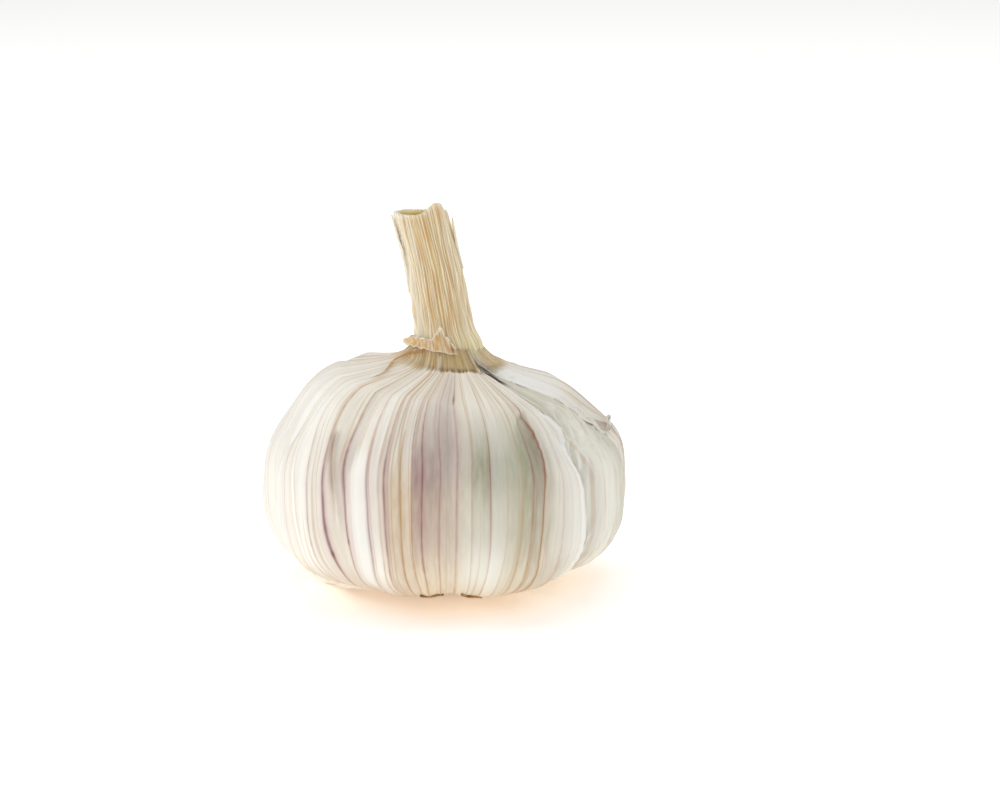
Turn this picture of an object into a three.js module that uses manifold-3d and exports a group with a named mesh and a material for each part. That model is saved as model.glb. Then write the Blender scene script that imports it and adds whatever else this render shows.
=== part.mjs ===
// A whole garlic bulb, dried and trimmed, standing on its root plate.
// Units are millimetres, +Z is up, and the origin is the middle of the flat spot that the bulb rests on.
// A bearing is an angle round the Z axis: 0 is the front (-Y) and a quarter turn on is the right (+X).
// The cloves fill an inner skin. A torn outer skin wraps them and stays open as a rent at the front right.
// The neck is the dried false stem, cut off, with a torn tan collar at its foot.
import * as THREE from "three";
import Module from "manifold-3d";
import { mergeVertices } from "three/addons/utils/BufferGeometryUtils.js";

const wasm = await Module();
wasm.setup();

// The size of the whole bulb.
const BULB_RADIUS = 30.2;
const BULB_HALF_HEIGHT = 17.9;
const CENTRE_HEIGHT = 19.0;
const NECK_TOP = 61.4;

// Skins: the outer one is thicker than life so that it is a sound solid, and stands clear of the inner one.
const SKIN_THICKNESS = 0.6;
const GAP = 0.32;

// How square the bulb's profile is: 2 would be an ellipse.
const UPPER_SQUARENESS = 2.5;
const LOWER_SQUARENESS = 3.25;

// How the bulb departs from that profile: its shoulder sags, more at the left, and the whole top tips to the right.
const SAG = { depth: 2.2, sideways: 0.45, latitude: 29, reach: 23 };
const TIP = 0.09;

// The recess that the root plate sits in.
const RECESS_DEPTH = 2.3;
const RECESS_RADIUS = 9.5;

// Bearings, in degrees, of the furrows between neighbouring cloves, and how far each clove swells past the mean.
const FURROWS = [-34, 2, 49, 93, 131, 170, 209, 247, 287];
const CLOVE_SWELL = [0.1, 0.35, 0.15, 0.3, -0.1, 0.25, -0.15, 0.2, 0.05];
const INNER_FURROW_DEPTH = 2.4;
const OUTER_FURROW_DEPTH = 1.35;

// Veins that stand out of the outer skin as fine ribs.
const VEIN_COUNT = 34;
const VEIN_HEIGHT = 0.3;
const VEIN_HALF_WIDTH = 1.15;
const SEED = 11;

// The trumpet where a skin turns up round the neck runs between these latitudes, and its rim is higher at the left.
// Half way up it a skin bends at a crease, which stands off the neck.
const TRUMPET_LATITUDE = 58;
const RIM_LATITUDE = 88;
const RIM_TILT = 0.7;
const RIM_LIFT_SHARE = 0.6;
const CREASE = { height: 36.4, tilt: 0.4, stand: 1.2 };

// The neck's middle line, as [x, y, z] points from its foot to its cut end, and half its width and depth at each.
const NECK_FOOT = 33.8;
const NECK_LINE = [
  [1.0, 0.0, NECK_FOOT],
  [0.9, 0.0, 37.3],
  [-0.3, 0.1, 41.8],
  [-2.0, 0.3, 52.0],
  [-4.15, 0.5, NECK_TOP],
];
const NECK_HALF_WIDTH = [5.3, 5.0, 4.65, 4.5, 4.3];
const NECK_HALF_DEPTH = [4.2, 3.7, 3.1, 2.6, 2.4];
const NECK_RIBS = 26;
const NECK_RIB_HEIGHT = 0.22;
const NECK_WALL = 0.8;
const NECK_HOLLOW_DEPTH = 9;
const NECK_RING_HEIGHTS = [36.5, 38.5, 40.5, 43, 46.5, 50, 54, 58];
const NECK_RINGS_IN_SKIN = 5;

// The neck's ragged cut end: a folded lip, a notch beside it, small teeth all round, and how far it lies below the top.
const CUT_LIP = { bearing: 40, height: 1.7, wide: 22 };
const CUT_NOTCH = { bearing: 82, height: 1.3, wide: 10 };
const CUT_TEETH = { count: 5, height: 0.35 };
const CUT_DROP = 0.7;

// The torn collar: the bearings that it runs between, the height of its foot at the front, how far it stands above
// that along most of its length and at its peak, the heights of its teeth in turn, and how its foot flares.
const COLLAR_BEARINGS = [-104, 22];
const COLLAR_FOOT = 39.8;
const COLLAR_FOOT_TOOTH = 0.15;
const COLLAR_LOWEST = 0.7;
const COLLAR_RISE = 0.9;
const COLLAR_PEAK = { share: 0.74, wide: 0.12, height: 1.7 };
const COLLAR_TEETH = [0, 0.7, 0.25];
const COLLAR_THICKNESS = 0.65;
const COLLAR_FLARE = { outside: 0.5, inside: 0.2 };

// The root plate and the stubs of the trimmed roots round it.
const PLATE_RADIUS = 7.0;
const PLATE_THICKNESS = 2.2;
const PLATE_FLAT_RADIUS = 5.4;
const PLATE_TOP_RADIUS = 5.2;
const PLATE_WIDEST_HEIGHT = 1.1;
const PLATE_CLEARANCE = 3;
const STUB_COUNT = 26;
const STUB_RADIUS = 0.5;
const STUB_TIP_SHARE = 0.7;
const STUB_SINK = 0.75;
const STUB_LENGTH = { least: 1.6, spread: 1.3 };
const STUB_HEIGHT = { least: 0.53, spread: 0.2 };

// The rent in the outer skin, from the neck down: latitude, then the bearings of its left and right edges, in degrees.
const RENT = [
  [84, 38, 50],
  [76, 38, 56],
  [66, 37, 64],
  [60, 38, 70],
  [54, 44, 72.5],
  [48, 48, 72],
  [41, 48.5, 70],
  [33, 47, 67.5],
  [28, 47, 75],
  [17, 46, 81],
  [5, 47.5, 86],
  [-7, 49, 88],
  [-19, 50, 88],
  [-31, 50.5, 85],
  [-42, 51, 80],
  [-52, 53, 74],
  [-62, 57, 68],
];

// The rent's mean edges, how far round from them the skin's columns swing to follow it, and how its edges stand up.
const RENT_LEFT = 46;
const RENT_RIGHT = 76;
const RENT_SWING = 40;
const RENT_LIFT = 0.7;
const RENT_LIFT_WIDTH = 7;
const FLAKE = { bearing: 74, latitude: 31, wide: 5, tall: 6, height: 1.0 };

// Places where a skin sinks or stands up: a bearing and latitude, half its reach each way, and its height.
const HOLLOW = { bearing: 50, latitude: 60, wide: 11, tall: 12, height: -1.7 };
const FACET = { left: 8, right: 35, top: 45, bottom: -20, height: -0.75 };
const PLEAT = { height: 0.4, low: -72, high: -18, bottom: 48, back: -130 };

// The rows of both skins: latitudes up to the trumpet, then shares of the way up it to the rim round the neck.
const LATITUDES = [-72, -62, -52, -42, -31, -19, -7, 5, 17, 28, 39, 49, TRUMPET_LATITUDE];
const TRUMPET_SHARES = [0.22, 0.45, 0.7, 1];
const SKIN_LOWEST = -80.5;
const INNER_LOWEST = -85;
const WIDEST_COLUMN = 6.5;
const CLOVE_PLACES = [0, 0.1, 0.24, 0.42, 0.58, 0.76, 0.9];

// The loose tongue of skin at the lower left: its root, its knee, the free tip, and how it narrows and cups.
const TONGUE_BEARING = -54;
const TONGUE_LATITUDE = -58;
const TONGUE_ROOT_SINK = 0.3;
const TONGUE_KNEE = { turn: 7, rise: 10, lift: 0.9 };
const TONGUE_TIP = new THREE.Vector3(-24.9, -7.5, 3.9);
const TONGUE_HALF_WIDTH = 3.4;
const TONGUE_TAPER = 0.85;
const TONGUE_CUP = 0.5;

const RAD = Math.PI / 180;
const lerp = THREE.MathUtils.lerp;
const smooth = (x) => THREE.MathUtils.smoothstep(x, 0, 1);
const bell = (x, width) => Math.exp(-((x / width) ** 2));
const turnFrom = (bearing, middle) => ((bearing - middle + 540) % 360) - 180;

// A repeatable stream of numbers from 0 to 1.
function seededRandom(seed) {
  let state = seed >>> 0;
  return () => {
    state = (Math.imul(state, 1664525) + 1013904223) >>> 0;
    return state / 4294967296;
  };
}

// The clove at a bearing in degrees: its number, and the place across it from -1 to 1.
function cloveAt(bearing) {
  const first = FURROWS[0];
  const turned = first + ((((bearing - first) % 360) + 360) % 360);
  let number = FURROWS.length - 1;
  while (FURROWS[number] > turned) number -= 1;
  const low = FURROWS[number];
  const high = number + 1 < FURROWS.length ? FURROWS[number + 1] : first + 360;
  return { number, across: (2 * (turned - low)) / (high - low) - 1 };
}

// The bearings of the veins, unevenly spaced, in rising order.
function veinBearings() {
  const random = seededRandom(SEED);
  const step = 360 / VEIN_COUNT;
  return Array.from({ length: VEIN_COUNT }, (_, i) => (i + 0.7 * (random() - 0.5)) * step);
}

// The two layers of skin. A layer's offset is how far its surface lies inside the bulb's outer radius.
const INNER_SKIN = { offset: SKIN_THICKNESS + GAP, furrow: INNER_FURROW_DEPTH, sharpness: 3, neckGap: 0.2, rim: 37.0 };
const OUTER_SKIN = { offset: 0, furrow: OUTER_FURROW_DEPTH, sharpness: 2.3, neckGap: 1.15, rim: 39.2 };
const OUTER_LINING = { ...OUTER_SKIN, offset: SKIN_THICKNESS, neckGap: GAP + NECK_RIB_HEIGHT, rim: 38.6 };

// The flattened face of the clove at the front right, which ends in a ridge at its right and at the shoulder.
function facet(bearing, latitude) {
  const { left, right, top, bottom, height } = FACET;
  const across = smooth((bearing - left) / (right - left)) * smooth((right + 2 - bearing) / 5);
  const along = smooth((top + 2 - latitude) / 8) * smooth((latitude - bottom) / 40);
  return height * across * along;
}

// The step where the outermost sheet ends, along a line that runs down the left shoulder from the neck.
function pleat(bearing, latitude) {
  const { height, low, high, bottom, back } = PLEAT;
  const line = lerp(low, high, smooth((latitude - bottom) / 40));
  const step = smooth((line - bearing) / 4) * smooth((bearing - back) / 40);
  return height * step * smooth((latitude - bottom) / 14);
}

// How far the inner skin sinks beside the neck, where two cloves part.
function hollow(bearing, latitude) {
  const { wide, tall, height } = HOLLOW;
  return height * bell(bearing - HOLLOW.bearing, wide) * bell(latitude - HOLLOW.latitude, tall);
}

// A point on a layer below its trumpet, raised by `lift` along the profile's normal.
function skinPoint(bearing, latitude, layer, lift) {
  const up = latitude > 0;
  const power = up ? UPPER_SQUARENESS : LOWER_SQUARENESS;
  const c = Math.max(Math.cos(latitude * RAD), 1e-4) ** (2 / power);
  const s = Math.abs(Math.sin(latitude * RAD)) ** (2 / power) * Math.sign(latitude);
  const normal = new THREE.Vector2(
    c ** (power - 1) / BULB_RADIUS,
    (Math.sign(s) * Math.abs(s) ** (power - 1)) / BULB_HALF_HEIGHT,
  ).normalize();
  const { number, across } = cloveAt(bearing);
  const fade = smooth((80 - latitude) / 40) * smooth((latitude + 88) / 30);
  const furrow = layer.furrow * Math.abs(across) ** layer.sharpness * fade;
  const swell = CLOVE_SWELL[number] * (1 - across ** 2) * fade;
  const tilt = Math.sin(bearing * RAD);
  const sag = (SAG.depth - SAG.sideways * tilt) * bell(latitude - SAG.latitude, SAG.reach);
  const out = lift + swell - furrow - sag - layer.offset;
  const radius = Math.max(BULB_RADIUS * c + normal.x * out, 0);
  const recess = up ? 0 : RECESS_DEPTH * bell(radius, RECESS_RADIUS);
  const tipped = TIP * radius * tilt * smooth(latitude / 50);
  const height = CENTRE_HEIGHT + BULB_HALF_HEIGHT * s + normal.y * out + recess - tipped;
  return new THREE.Vector3(radius * Math.sin(bearing * RAD), -radius * Math.cos(bearing * RAD), height);
}

// The neck's centre, half width and half depth at a height.
function neckSection(height) {
  let i = 0;
  while (i < NECK_LINE.length - 2 && NECK_LINE[i + 1][2] < height) i += 1;
  const [low, high] = [NECK_LINE[i], NECK_LINE[i + 1]];
  const share = (height - low[2]) / (high[2] - low[2]);
  return {
    x: lerp(low[0], high[0], share),
    y: lerp(low[1], high[1], share),
    width: lerp(NECK_HALF_WIDTH[i], NECK_HALF_WIDTH[i + 1], share),
    depth: lerp(NECK_HALF_DEPTH[i], NECK_HALF_DEPTH[i + 1], share),
  };
}

// A point round the neck at a height, `out` millimetres outside its smooth wall.
function neckPoint(bearing, height, out) {
  const { x, y, width, depth } = neckSection(height);
  return new THREE.Vector3(
    x + (width + out) * Math.sin(bearing * RAD),
    y - (depth + out) * Math.cos(bearing * RAD),
    height,
  );
}

// The latitude that stands for a share of the way up the trumpet.
function trumpetLatitude(share) {
  return lerp(TRUMPET_LATITUDE, RIM_LATITUDE, share);
}

// A point on a layer's trumpet: `share` runs from 0 on the shoulder to 1 at the rim round the neck.
function trumpetPoint(bearing, share, layer, lift) {
  const shoulder = skinPoint(bearing, TRUMPET_LATITUDE, layer, lift);
  const tilt = Math.sin(bearing * RAD);
  const crease = neckPoint(bearing, CREASE.height - CREASE.tilt * tilt, layer.neckGap + CREASE.stand + lift);
  crease.z -= layer.offset;
  const rim = neckPoint(bearing, layer.rim - RIM_TILT * tilt, layer.neckGap + RIM_LIFT_SHARE * lift);
  return new THREE.QuadraticBezierCurve3(shoulder, crease, rim).getPoint(share);
}

// A closed surface from rings of points, each ring going round with rising bearing and the rings going up.
function closedRings(rings) {
  const around = rings[0].length;
  const middle = (ring) => ring.reduce((sum, p) => sum.add(p), new THREE.Vector3()).divideScalar(around);
  const points = [...rings.flat(), middle(rings[0]), middle(rings[rings.length - 1])];
  const bottom = points.length - 2;
  const top = points.length - 1;
  const faces = [];
  for (let j = 0; j < rings.length - 1; j += 1) {
    for (let i = 0; i < around; i += 1) {
      const next = (i + 1) % around;
      const [a, b] = [j * around + i, j * around + next];
      faces.push(a, b, b + around, a, b + around, a + around);
    }
  }
  for (let i = 0; i < around; i += 1) {
    const next = (i + 1) % around;
    const last = (rings.length - 1) * around;
    faces.push(bottom, next, i, top, last + i, last + next);
  }
  return meshGeometry(points, faces);
}

function meshGeometry(points, faces) {
  const geometry = new THREE.BufferGeometry().setFromPoints(points);
  geometry.setIndex(faces);
  return geometry;
}

// A solid that manifold-3d can cut and join, from a closed geometry.
function solidOf(geometry) {
  const bare = geometry.clone();
  bare.deleteAttribute("normal");
  bare.deleteAttribute("uv");
  const merged = mergeVertices(bare, 1e-4);
  return new wasm.Manifold(
    new wasm.Mesh({
      numProp: 3,
      vertProperties: new Float32Array(merged.attributes.position.array),
      triVerts: new Uint32Array(merged.index.array),
    }),
  );
}

function geometryOf(solid) {
  const mesh = solid.getMesh();
  const geometry = new THREE.BufferGeometry();
  geometry.setAttribute("position", new THREE.BufferAttribute(Float32Array.from(mesh.vertProperties), 3));
  geometry.setIndex(new THREE.BufferAttribute(Uint32Array.from(mesh.triVerts), 1));
  geometry.computeVertexNormals();
  return geometry;
}

// Keeps the largest body, so that a crumb left by a cut doesn't float free.
function largestBody(solid) {
  return solid.decompose().sort((a, b) => b.volume() - a.volume())[0];
}

function bearingsRound(count) {
  return Array.from({ length: count }, (_, i) => (360 * i) / count);
}

// The neck's outside as a solid, swollen by `out`, with ribs raised when `ribHeight` isn't 0.
function neckSolid(out, ribHeight, around, heights, rimAt) {
  const rings = heights.map((height, j) =>
    bearingsRound(around).map((bearing, i) => {
      const rib = i % 2 ? ribHeight : -ribHeight;
      const point = neckPoint(bearing, height, out + rib);
      if (j === heights.length - 1) point.z += rimAt(bearing);
      return point;
    }),
  );
  return solidOf(closedRings(rings));
}

// The ragged cut end: a folded lip stands up at the right of the front, and the left is torn lower.
function neckRim(bearing) {
  const lip = CUT_LIP.height * bell(turnFrom(bearing, CUT_LIP.bearing), CUT_LIP.wide);
  const notch = CUT_NOTCH.height * bell(turnFrom(bearing, CUT_NOTCH.bearing), CUT_NOTCH.wide);
  return lip - notch + CUT_TEETH.height * Math.sin(CUT_TEETH.count * bearing * RAD) - CUT_DROP;
}

// The neck: a flattened ribbed tube, hollow at its cut end.
function makeNeck() {
  const heights = [NECK_FOOT, ...NECK_RING_HEIGHTS, NECK_TOP];
  const body = neckSolid(0, NECK_RIB_HEIGHT, 2 * NECK_RIBS, heights, neckRim);
  const floor = NECK_TOP - NECK_HOLLOW_DEPTH;
  const aboveLip = NECK_TOP + 2 * CUT_LIP.height;
  const hollowHeights = [0, 0.4, 0.8, 1].map((share) => lerp(floor, aboveLip, share));
  const hollow = neckSolid(-NECK_WALL - NECK_RIB_HEIGHT, 0, NECK_RIBS, hollowHeights, () => 0);
  return largestBody(body.subtract(hollow));
}

// The room that the neck takes, with the gap that the skins keep from it.
function neckRoom() {
  const heights = [NECK_FOOT - GAP, ...NECK_RING_HEIGHTS.slice(0, NECK_RINGS_IN_SKIN)];
  return neckSolid(GAP + NECK_RIB_HEIGHT, 0, 36, heights, () => 0);
}

function plateRoom() {
  const profile = [
    new THREE.Vector2(0, -PLATE_CLEARANCE),
    new THREE.Vector2(PLATE_RADIUS + GAP, -PLATE_CLEARANCE),
    new THREE.Vector2(PLATE_RADIUS + GAP, PLATE_THICKNESS + GAP),
    new THREE.Vector2(0, PLATE_THICKNESS + GAP),
  ];
  return solidOf(new THREE.LatheGeometry(profile, 40).rotateX(Math.PI / 2));
}

// The cloves in their inner skin: one body with a deep furrow between each two cloves.
function makeCloves() {
  const bearings = FURROWS.flatMap((low, i) => {
    const high = i + 1 < FURROWS.length ? FURROWS[i + 1] : FURROWS[0] + 360;
    return CLOVE_PLACES.map((share) => lerp(low, high, share));
  });
  const sunk = (bearing, latitude) => hollow(bearing, latitude) + facet(bearing, latitude);
  const below = [INNER_LOWEST, ...LATITUDES].map((latitude) =>
    bearings.map((bearing) => skinPoint(bearing, latitude, INNER_SKIN, sunk(bearing, latitude))),
  );
  const above = TRUMPET_SHARES.map((share) =>
    bearings.map((bearing) => trumpetPoint(bearing, share, INNER_SKIN, sunk(bearing, trumpetLatitude(share)))),
  );
  const body = solidOf(closedRings([...below, ...above]));
  return largestBody(body.subtract(neckRoom()).subtract(plateRoom()));
}

// The rent's edge, 1 for the left one and 2 for the right one, at a latitude.
function rentEdge(side, latitude) {
  let i = 0;
  while (i < RENT.length - 2 && RENT[i + 1][0] > latitude) i += 1;
  const share = THREE.MathUtils.clamp((RENT[i][0] - latitude) / (RENT[i][0] - RENT[i + 1][0]), 0, 1);
  return lerp(RENT[i][side], RENT[i + 1][side], share);
}

// Where a column of the outer skin runs at a latitude: near the rent it swings to follow the torn edge.
function columnBearing(column, latitude) {
  const fromRight = column - RENT_RIGHT;
  const fromLeft = RENT_LEFT + 360 - column;
  const right = (rentEdge(2, latitude) - RENT_RIGHT) * (1 - smooth(fromRight / RENT_SWING));
  const left = (rentEdge(1, latitude) - RENT_LEFT) * (1 - smooth(fromLeft / RENT_SWING));
  return column + right + left;
}

// The outer skin: a thin shell with raised veins, open at the rent, at the neck and under the root plate.
function makeOuterSkin() {
  const columns = [{ at: RENT_RIGHT, crest: 0 }];
  for (const vein of veinBearings()) {
    const at = vein < RENT_RIGHT ? vein + 360 : vein;
    const clear = at - VEIN_HALF_WIDTH > RENT_RIGHT && at + VEIN_HALF_WIDTH < RENT_LEFT + 360;
    if (clear) {
      columns.push({ at: at - VEIN_HALF_WIDTH, crest: 0 });
      columns.push({ at, crest: 1 });
      columns.push({ at: at + VEIN_HALF_WIDTH, crest: 0 });
    }
  }
  columns.push({ at: RENT_LEFT + 360, crest: 0 });
  columns.sort((p, q) => p.at - q.at);
  for (let i = columns.length - 1; i > 0; i -= 1) {
    const wide = columns[i].at - columns[i - 1].at;
    if (wide > WIDEST_COLUMN) columns.splice(i, 0, { at: columns[i].at - wide / 2, crest: 0 });
  }
  const outer = [];
  const inner = [];
  const first = columns[0].at;
  const last = columns[columns.length - 1].at;
  const addRow = (latitude, pointOn) => {
    const low = smooth((latitude + 85) / 25);
    const high = lerp(1, 0.6, smooth((latitude - 40) / 40));
    for (const { at, crest } of columns) {
      const bearing = columnBearing(at, latitude);
      const front = bearing > 180 ? bearing - 360 : bearing;
      const edge = 1 - smooth(Math.min(at - first, last - at) / RENT_LIFT_WIDTH);
      const raised = RENT_LIFT * edge * smooth((latitude + 30) / 40) * smooth((80 - latitude) / 20);
      const flake = FLAKE.height * bell(front - FLAKE.bearing, FLAKE.wide) * bell(latitude - FLAKE.latitude, FLAKE.tall);
      const sheet = raised + flake + facet(front, latitude) + pleat(front, latitude);
      outer.push(pointOn(bearing, OUTER_SKIN, sheet + crest * VEIN_HEIGHT * low * high));
      inner.push(pointOn(bearing, OUTER_LINING, sheet));
    }
  };
  for (const latitude of [SKIN_LOWEST, ...LATITUDES]) {
    addRow(latitude, (bearing, layer, lift) => skinPoint(bearing, latitude, layer, lift));
  }
  for (const share of TRUMPET_SHARES) {
    addRow(trumpetLatitude(share), (bearing, layer, lift) => trumpetPoint(bearing, share, layer, lift));
  }
  const rows = 1 + LATITUDES.length + TRUMPET_SHARES.length;
  return solidOf(slabGeometry(outer, inner, columns.length, rows)).add(looseTongue());
}

// A tongue of skin that has peeled off the lower left and sticks out, its root sunk in the skin.
function looseTongue() {
  const { turn, rise, lift } = TONGUE_KNEE;
  const root = skinPoint(TONGUE_BEARING, TONGUE_LATITUDE, OUTER_SKIN, -TONGUE_ROOT_SINK);
  const knee = skinPoint(TONGUE_BEARING - turn, TONGUE_LATITUDE + rise, OUTER_SKIN, lift);
  const line = new THREE.QuadraticBezierCurve3(root, knee, TONGUE_TIP);
  const rows = 8;
  const columns = 5;
  const outer = [];
  const inner = [];
  for (let j = 0; j < rows; j += 1) {
    const share = j / (rows - 1);
    const middle = line.getPoint(share);
    const across = new THREE.Vector3(Math.cos(TONGUE_BEARING * RAD), Math.sin(TONGUE_BEARING * RAD), 0);
    const up = new THREE.Vector3().crossVectors(line.getTangent(share), across).normalize();
    const halfWidth = TONGUE_HALF_WIDTH * (1 - TONGUE_TAPER * share ** 1.6);
    for (let i = 0; i < columns; i += 1) {
      const place = (2 * i) / (columns - 1) - 1;
      const point = middle.clone().addScaledVector(across, place * halfWidth);
      point.addScaledVector(up, -TONGUE_CUP * place ** 2);
      outer.push(point.clone().addScaledVector(up, -SKIN_THICKNESS / 2));
      inner.push(point.clone().addScaledVector(up, SKIN_THICKNESS / 2));
    }
  }
  return solidOf(slabGeometry(outer, inner, columns, rows));
}

// The root plate: a low disc with a flat underside, and the stubs of its trimmed roots fused round its edge.
function makeRootPlate() {
  const profile = [
    [0, 0],
    [PLATE_FLAT_RADIUS, 0],
    [lerp(PLATE_FLAT_RADIUS, PLATE_RADIUS, 0.5), 0.25 * PLATE_WIDEST_HEIGHT],
    [PLATE_RADIUS, PLATE_WIDEST_HEIGHT],
    [PLATE_RADIUS - 0.4, PLATE_THICKNESS - 0.2],
    [PLATE_TOP_RADIUS, PLATE_THICKNESS],
    [0, PLATE_THICKNESS],
  ].map(([r, z]) => new THREE.Vector2(r, z));
  let plate = solidOf(new THREE.LatheGeometry(profile, 32).rotateX(Math.PI / 2));
  const random = seededRandom(SEED + 1);
  for (let i = 0; i < STUB_COUNT; i += 1) {
    const length = STUB_LENGTH.least + STUB_LENGTH.spread * random();
    const bearing = ((360 * (i + 0.6 * (random() - 0.5))) / STUB_COUNT) * RAD;
    const height = STUB_HEIGHT.least + STUB_HEIGHT.spread * random();
    const stub = new THREE.CylinderGeometry(STUB_TIP_SHARE * STUB_RADIUS, STUB_RADIUS, length, 6)
      .rotateX(Math.PI / 2)
      .translate(0, 0, PLATE_RADIUS - STUB_SINK + length / 2)
      .rotateX(Math.PI / 2)
      .rotateZ(bearing)
      .translate(0, 0, height);
    plate = plate.add(solidOf(stub));
  }
  return largestBody(plate);
}

// The torn collar: a ragged strip of tan sheath round the front and left of the neck's foot.
function makeCollar() {
  const columns = 26;
  const [from, to] = COLLAR_BEARINGS;
  const outer = [];
  const inner = [];
  const rows = 4;
  for (let j = 0; j < rows; j += 1) {
    for (let i = 0; i < columns; i += 1) {
      const share = i / (columns - 1);
      const bearing = lerp(from, to, share);
      const ends = smooth(share / 0.75) * smooth((1 - share) / 0.2);
      const tooth = COLLAR_TEETH[i % COLLAR_TEETH.length];
      const peak = COLLAR_PEAK.height * bell(share - COLLAR_PEAK.share, COLLAR_PEAK.wide);
      const low = COLLAR_FOOT - RIM_TILT * Math.sin(bearing * RAD) - COLLAR_FOOT_TOOTH * (i % 2);
      const high = low + COLLAR_LOWEST + (COLLAR_RISE + peak + tooth) * ends;
      const up = j / (rows - 1);
      const height = lerp(low, high, up);
      const stand = GAP + NECK_RIB_HEIGHT;
      outer.push(neckPoint(bearing, height, stand + COLLAR_THICKNESS + COLLAR_FLARE.outside * (1 - up)));
      inner.push(neckPoint(bearing, height, stand + COLLAR_FLARE.inside * (1 - up)));
    }
  }
  return solidOf(slabGeometry(outer, inner, columns, rows));
}

// A closed slab between two grids of points that match, the outer grid seen from outside with columns going right.
function slabGeometry(outer, inner, columns, rows) {
  const count = outer.length;
  const faces = [];
  const at = (i, j) => j * columns + i;
  const quad = (a, b, c, d) => faces.push(a, b, c, a, c, d);
  for (let j = 0; j < rows - 1; j += 1) {
    for (let i = 0; i < columns - 1; i += 1) {
      quad(at(i, j), at(i + 1, j), at(i + 1, j + 1), at(i, j + 1));
      quad(count + at(i, j), count + at(i, j + 1), count + at(i + 1, j + 1), count + at(i + 1, j));
    }
  }
  for (let i = 0; i < columns - 1; i += 1) {
    quad(count + at(i, 0), count + at(i + 1, 0), at(i + 1, 0), at(i, 0));
    quad(at(i, rows - 1), at(i + 1, rows - 1), count + at(i + 1, rows - 1), count + at(i, rows - 1));
  }
  for (let j = 0; j < rows - 1; j += 1) {
    quad(count + at(0, j), at(0, j), at(0, j + 1), count + at(0, j + 1));
    quad(at(columns - 1, j), count + at(columns - 1, j), count + at(columns - 1, j + 1), at(columns - 1, j + 1));
  }
  return meshGeometry([...outer, ...inner], faces);
}

function namedMesh(name, solid, colour, roughness) {
  const material = new THREE.MeshStandardMaterial({ color: colour, roughness, metalness: 0 });
  const mesh = new THREE.Mesh(geometryOf(solid), material);
  mesh.name = name;
  return mesh;
}

const garlicBulb = new THREE.Group();
garlicBulb.add(
  namedMesh("cloves_in_inner_skin", makeCloves(), 0xdfe0d0, 0.6),
  namedMesh("outer_skin", makeOuterSkin(), 0xe9e1d6, 0.6),
  namedMesh("neck", makeNeck(), 0xd9c396, 0.75),
  namedMesh("torn_collar", makeCollar(), 0xdcb98a, 0.8),
  namedMesh("root_plate", makeRootPlate(), 0x9a7a45, 0.9),
);

export default garlicBulb;
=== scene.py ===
# %% [markdown]
# # A bulb of garlic in a bright studio
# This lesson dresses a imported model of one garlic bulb. A dried bulb is a handful of swollen cloves in an
# inner skin, wrapped in a thin papery tunic that tears as it dries, with the cut false stem on top and the
# corky root plate under it. Each of those is one surface here, worked out with numpy as a function of two
# numbers, so that every rib and tear has a formula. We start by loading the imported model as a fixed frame.

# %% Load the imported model
import math

import bpy
import numpy as np
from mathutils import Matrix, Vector


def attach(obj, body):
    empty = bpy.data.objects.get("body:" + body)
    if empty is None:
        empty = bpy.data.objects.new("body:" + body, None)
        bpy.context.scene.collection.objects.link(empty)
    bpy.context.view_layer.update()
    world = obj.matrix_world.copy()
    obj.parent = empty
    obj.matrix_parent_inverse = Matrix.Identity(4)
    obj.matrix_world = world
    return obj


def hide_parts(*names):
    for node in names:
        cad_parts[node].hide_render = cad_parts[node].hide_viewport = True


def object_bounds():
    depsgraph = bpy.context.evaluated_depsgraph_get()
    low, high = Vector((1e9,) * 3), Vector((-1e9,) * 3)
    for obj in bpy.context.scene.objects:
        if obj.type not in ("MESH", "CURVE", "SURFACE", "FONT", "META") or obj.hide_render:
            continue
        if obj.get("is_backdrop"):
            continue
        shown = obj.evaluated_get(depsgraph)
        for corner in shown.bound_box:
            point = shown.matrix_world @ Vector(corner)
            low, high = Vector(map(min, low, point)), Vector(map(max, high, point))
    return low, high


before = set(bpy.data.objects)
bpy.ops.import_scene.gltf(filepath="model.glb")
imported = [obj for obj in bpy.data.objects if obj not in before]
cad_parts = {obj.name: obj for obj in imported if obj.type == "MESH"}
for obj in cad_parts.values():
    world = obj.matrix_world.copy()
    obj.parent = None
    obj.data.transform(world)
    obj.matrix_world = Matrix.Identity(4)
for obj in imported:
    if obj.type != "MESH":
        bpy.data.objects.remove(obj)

cad_low, cad_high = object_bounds()
print("nodes:", sorted(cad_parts))
print("box of the solids in mm:", [round(1000 * (top - foot), 1) for foot, top in zip(cad_low, cad_high)])

# %% [markdown]
# ## Small tools
# Shapes that grow are made of soft steps and bumps. `smooth` is a soft step from 0 to 1, `bell` is a bump,
# and `waves` adds a few sine waves of random length and direction, which gives a rumple that never repeats.
# The random numbers are seeded, so each run of the script grows the same bulb.

# %% Soft steps, bumps and rumples
MM = 0.001
RAD = np.pi / 180


def smooth(x):
    """A soft step: 0 below 0, 1 above 1, and level at both ends."""
    x = np.clip(x, 0, 1)
    return x * x * (3 - 2 * x)


def bell(x, reach):
    """A bump of height 1 that falls to a third of it at `reach`."""
    return np.exp(-((x / reach) ** 2))


def lerp(a, b, share):
    """A share of the way from a to b."""
    return a + (b - a) * share


def waves(u, v, across, along, seed, count=18):
    """A sum of sine waves, with wavelengths near `across` in u and `along` in v, scaled to about -1 to
    1."""
    draw = np.random.default_rng(seed)
    total = np.zeros(np.broadcast(u, v).shape)
    for _ in range(count):
        turn_u = draw.uniform(0.5, 1.6) * draw.choice([-1, 1]) / across
        turn_v = draw.uniform(0.4, 1.6) / along
        total = total + np.sin(2 * np.pi * (u * turn_u + v * turn_v + draw.uniform()))
    return total / math.sqrt(count / 2) / 1.6


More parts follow.
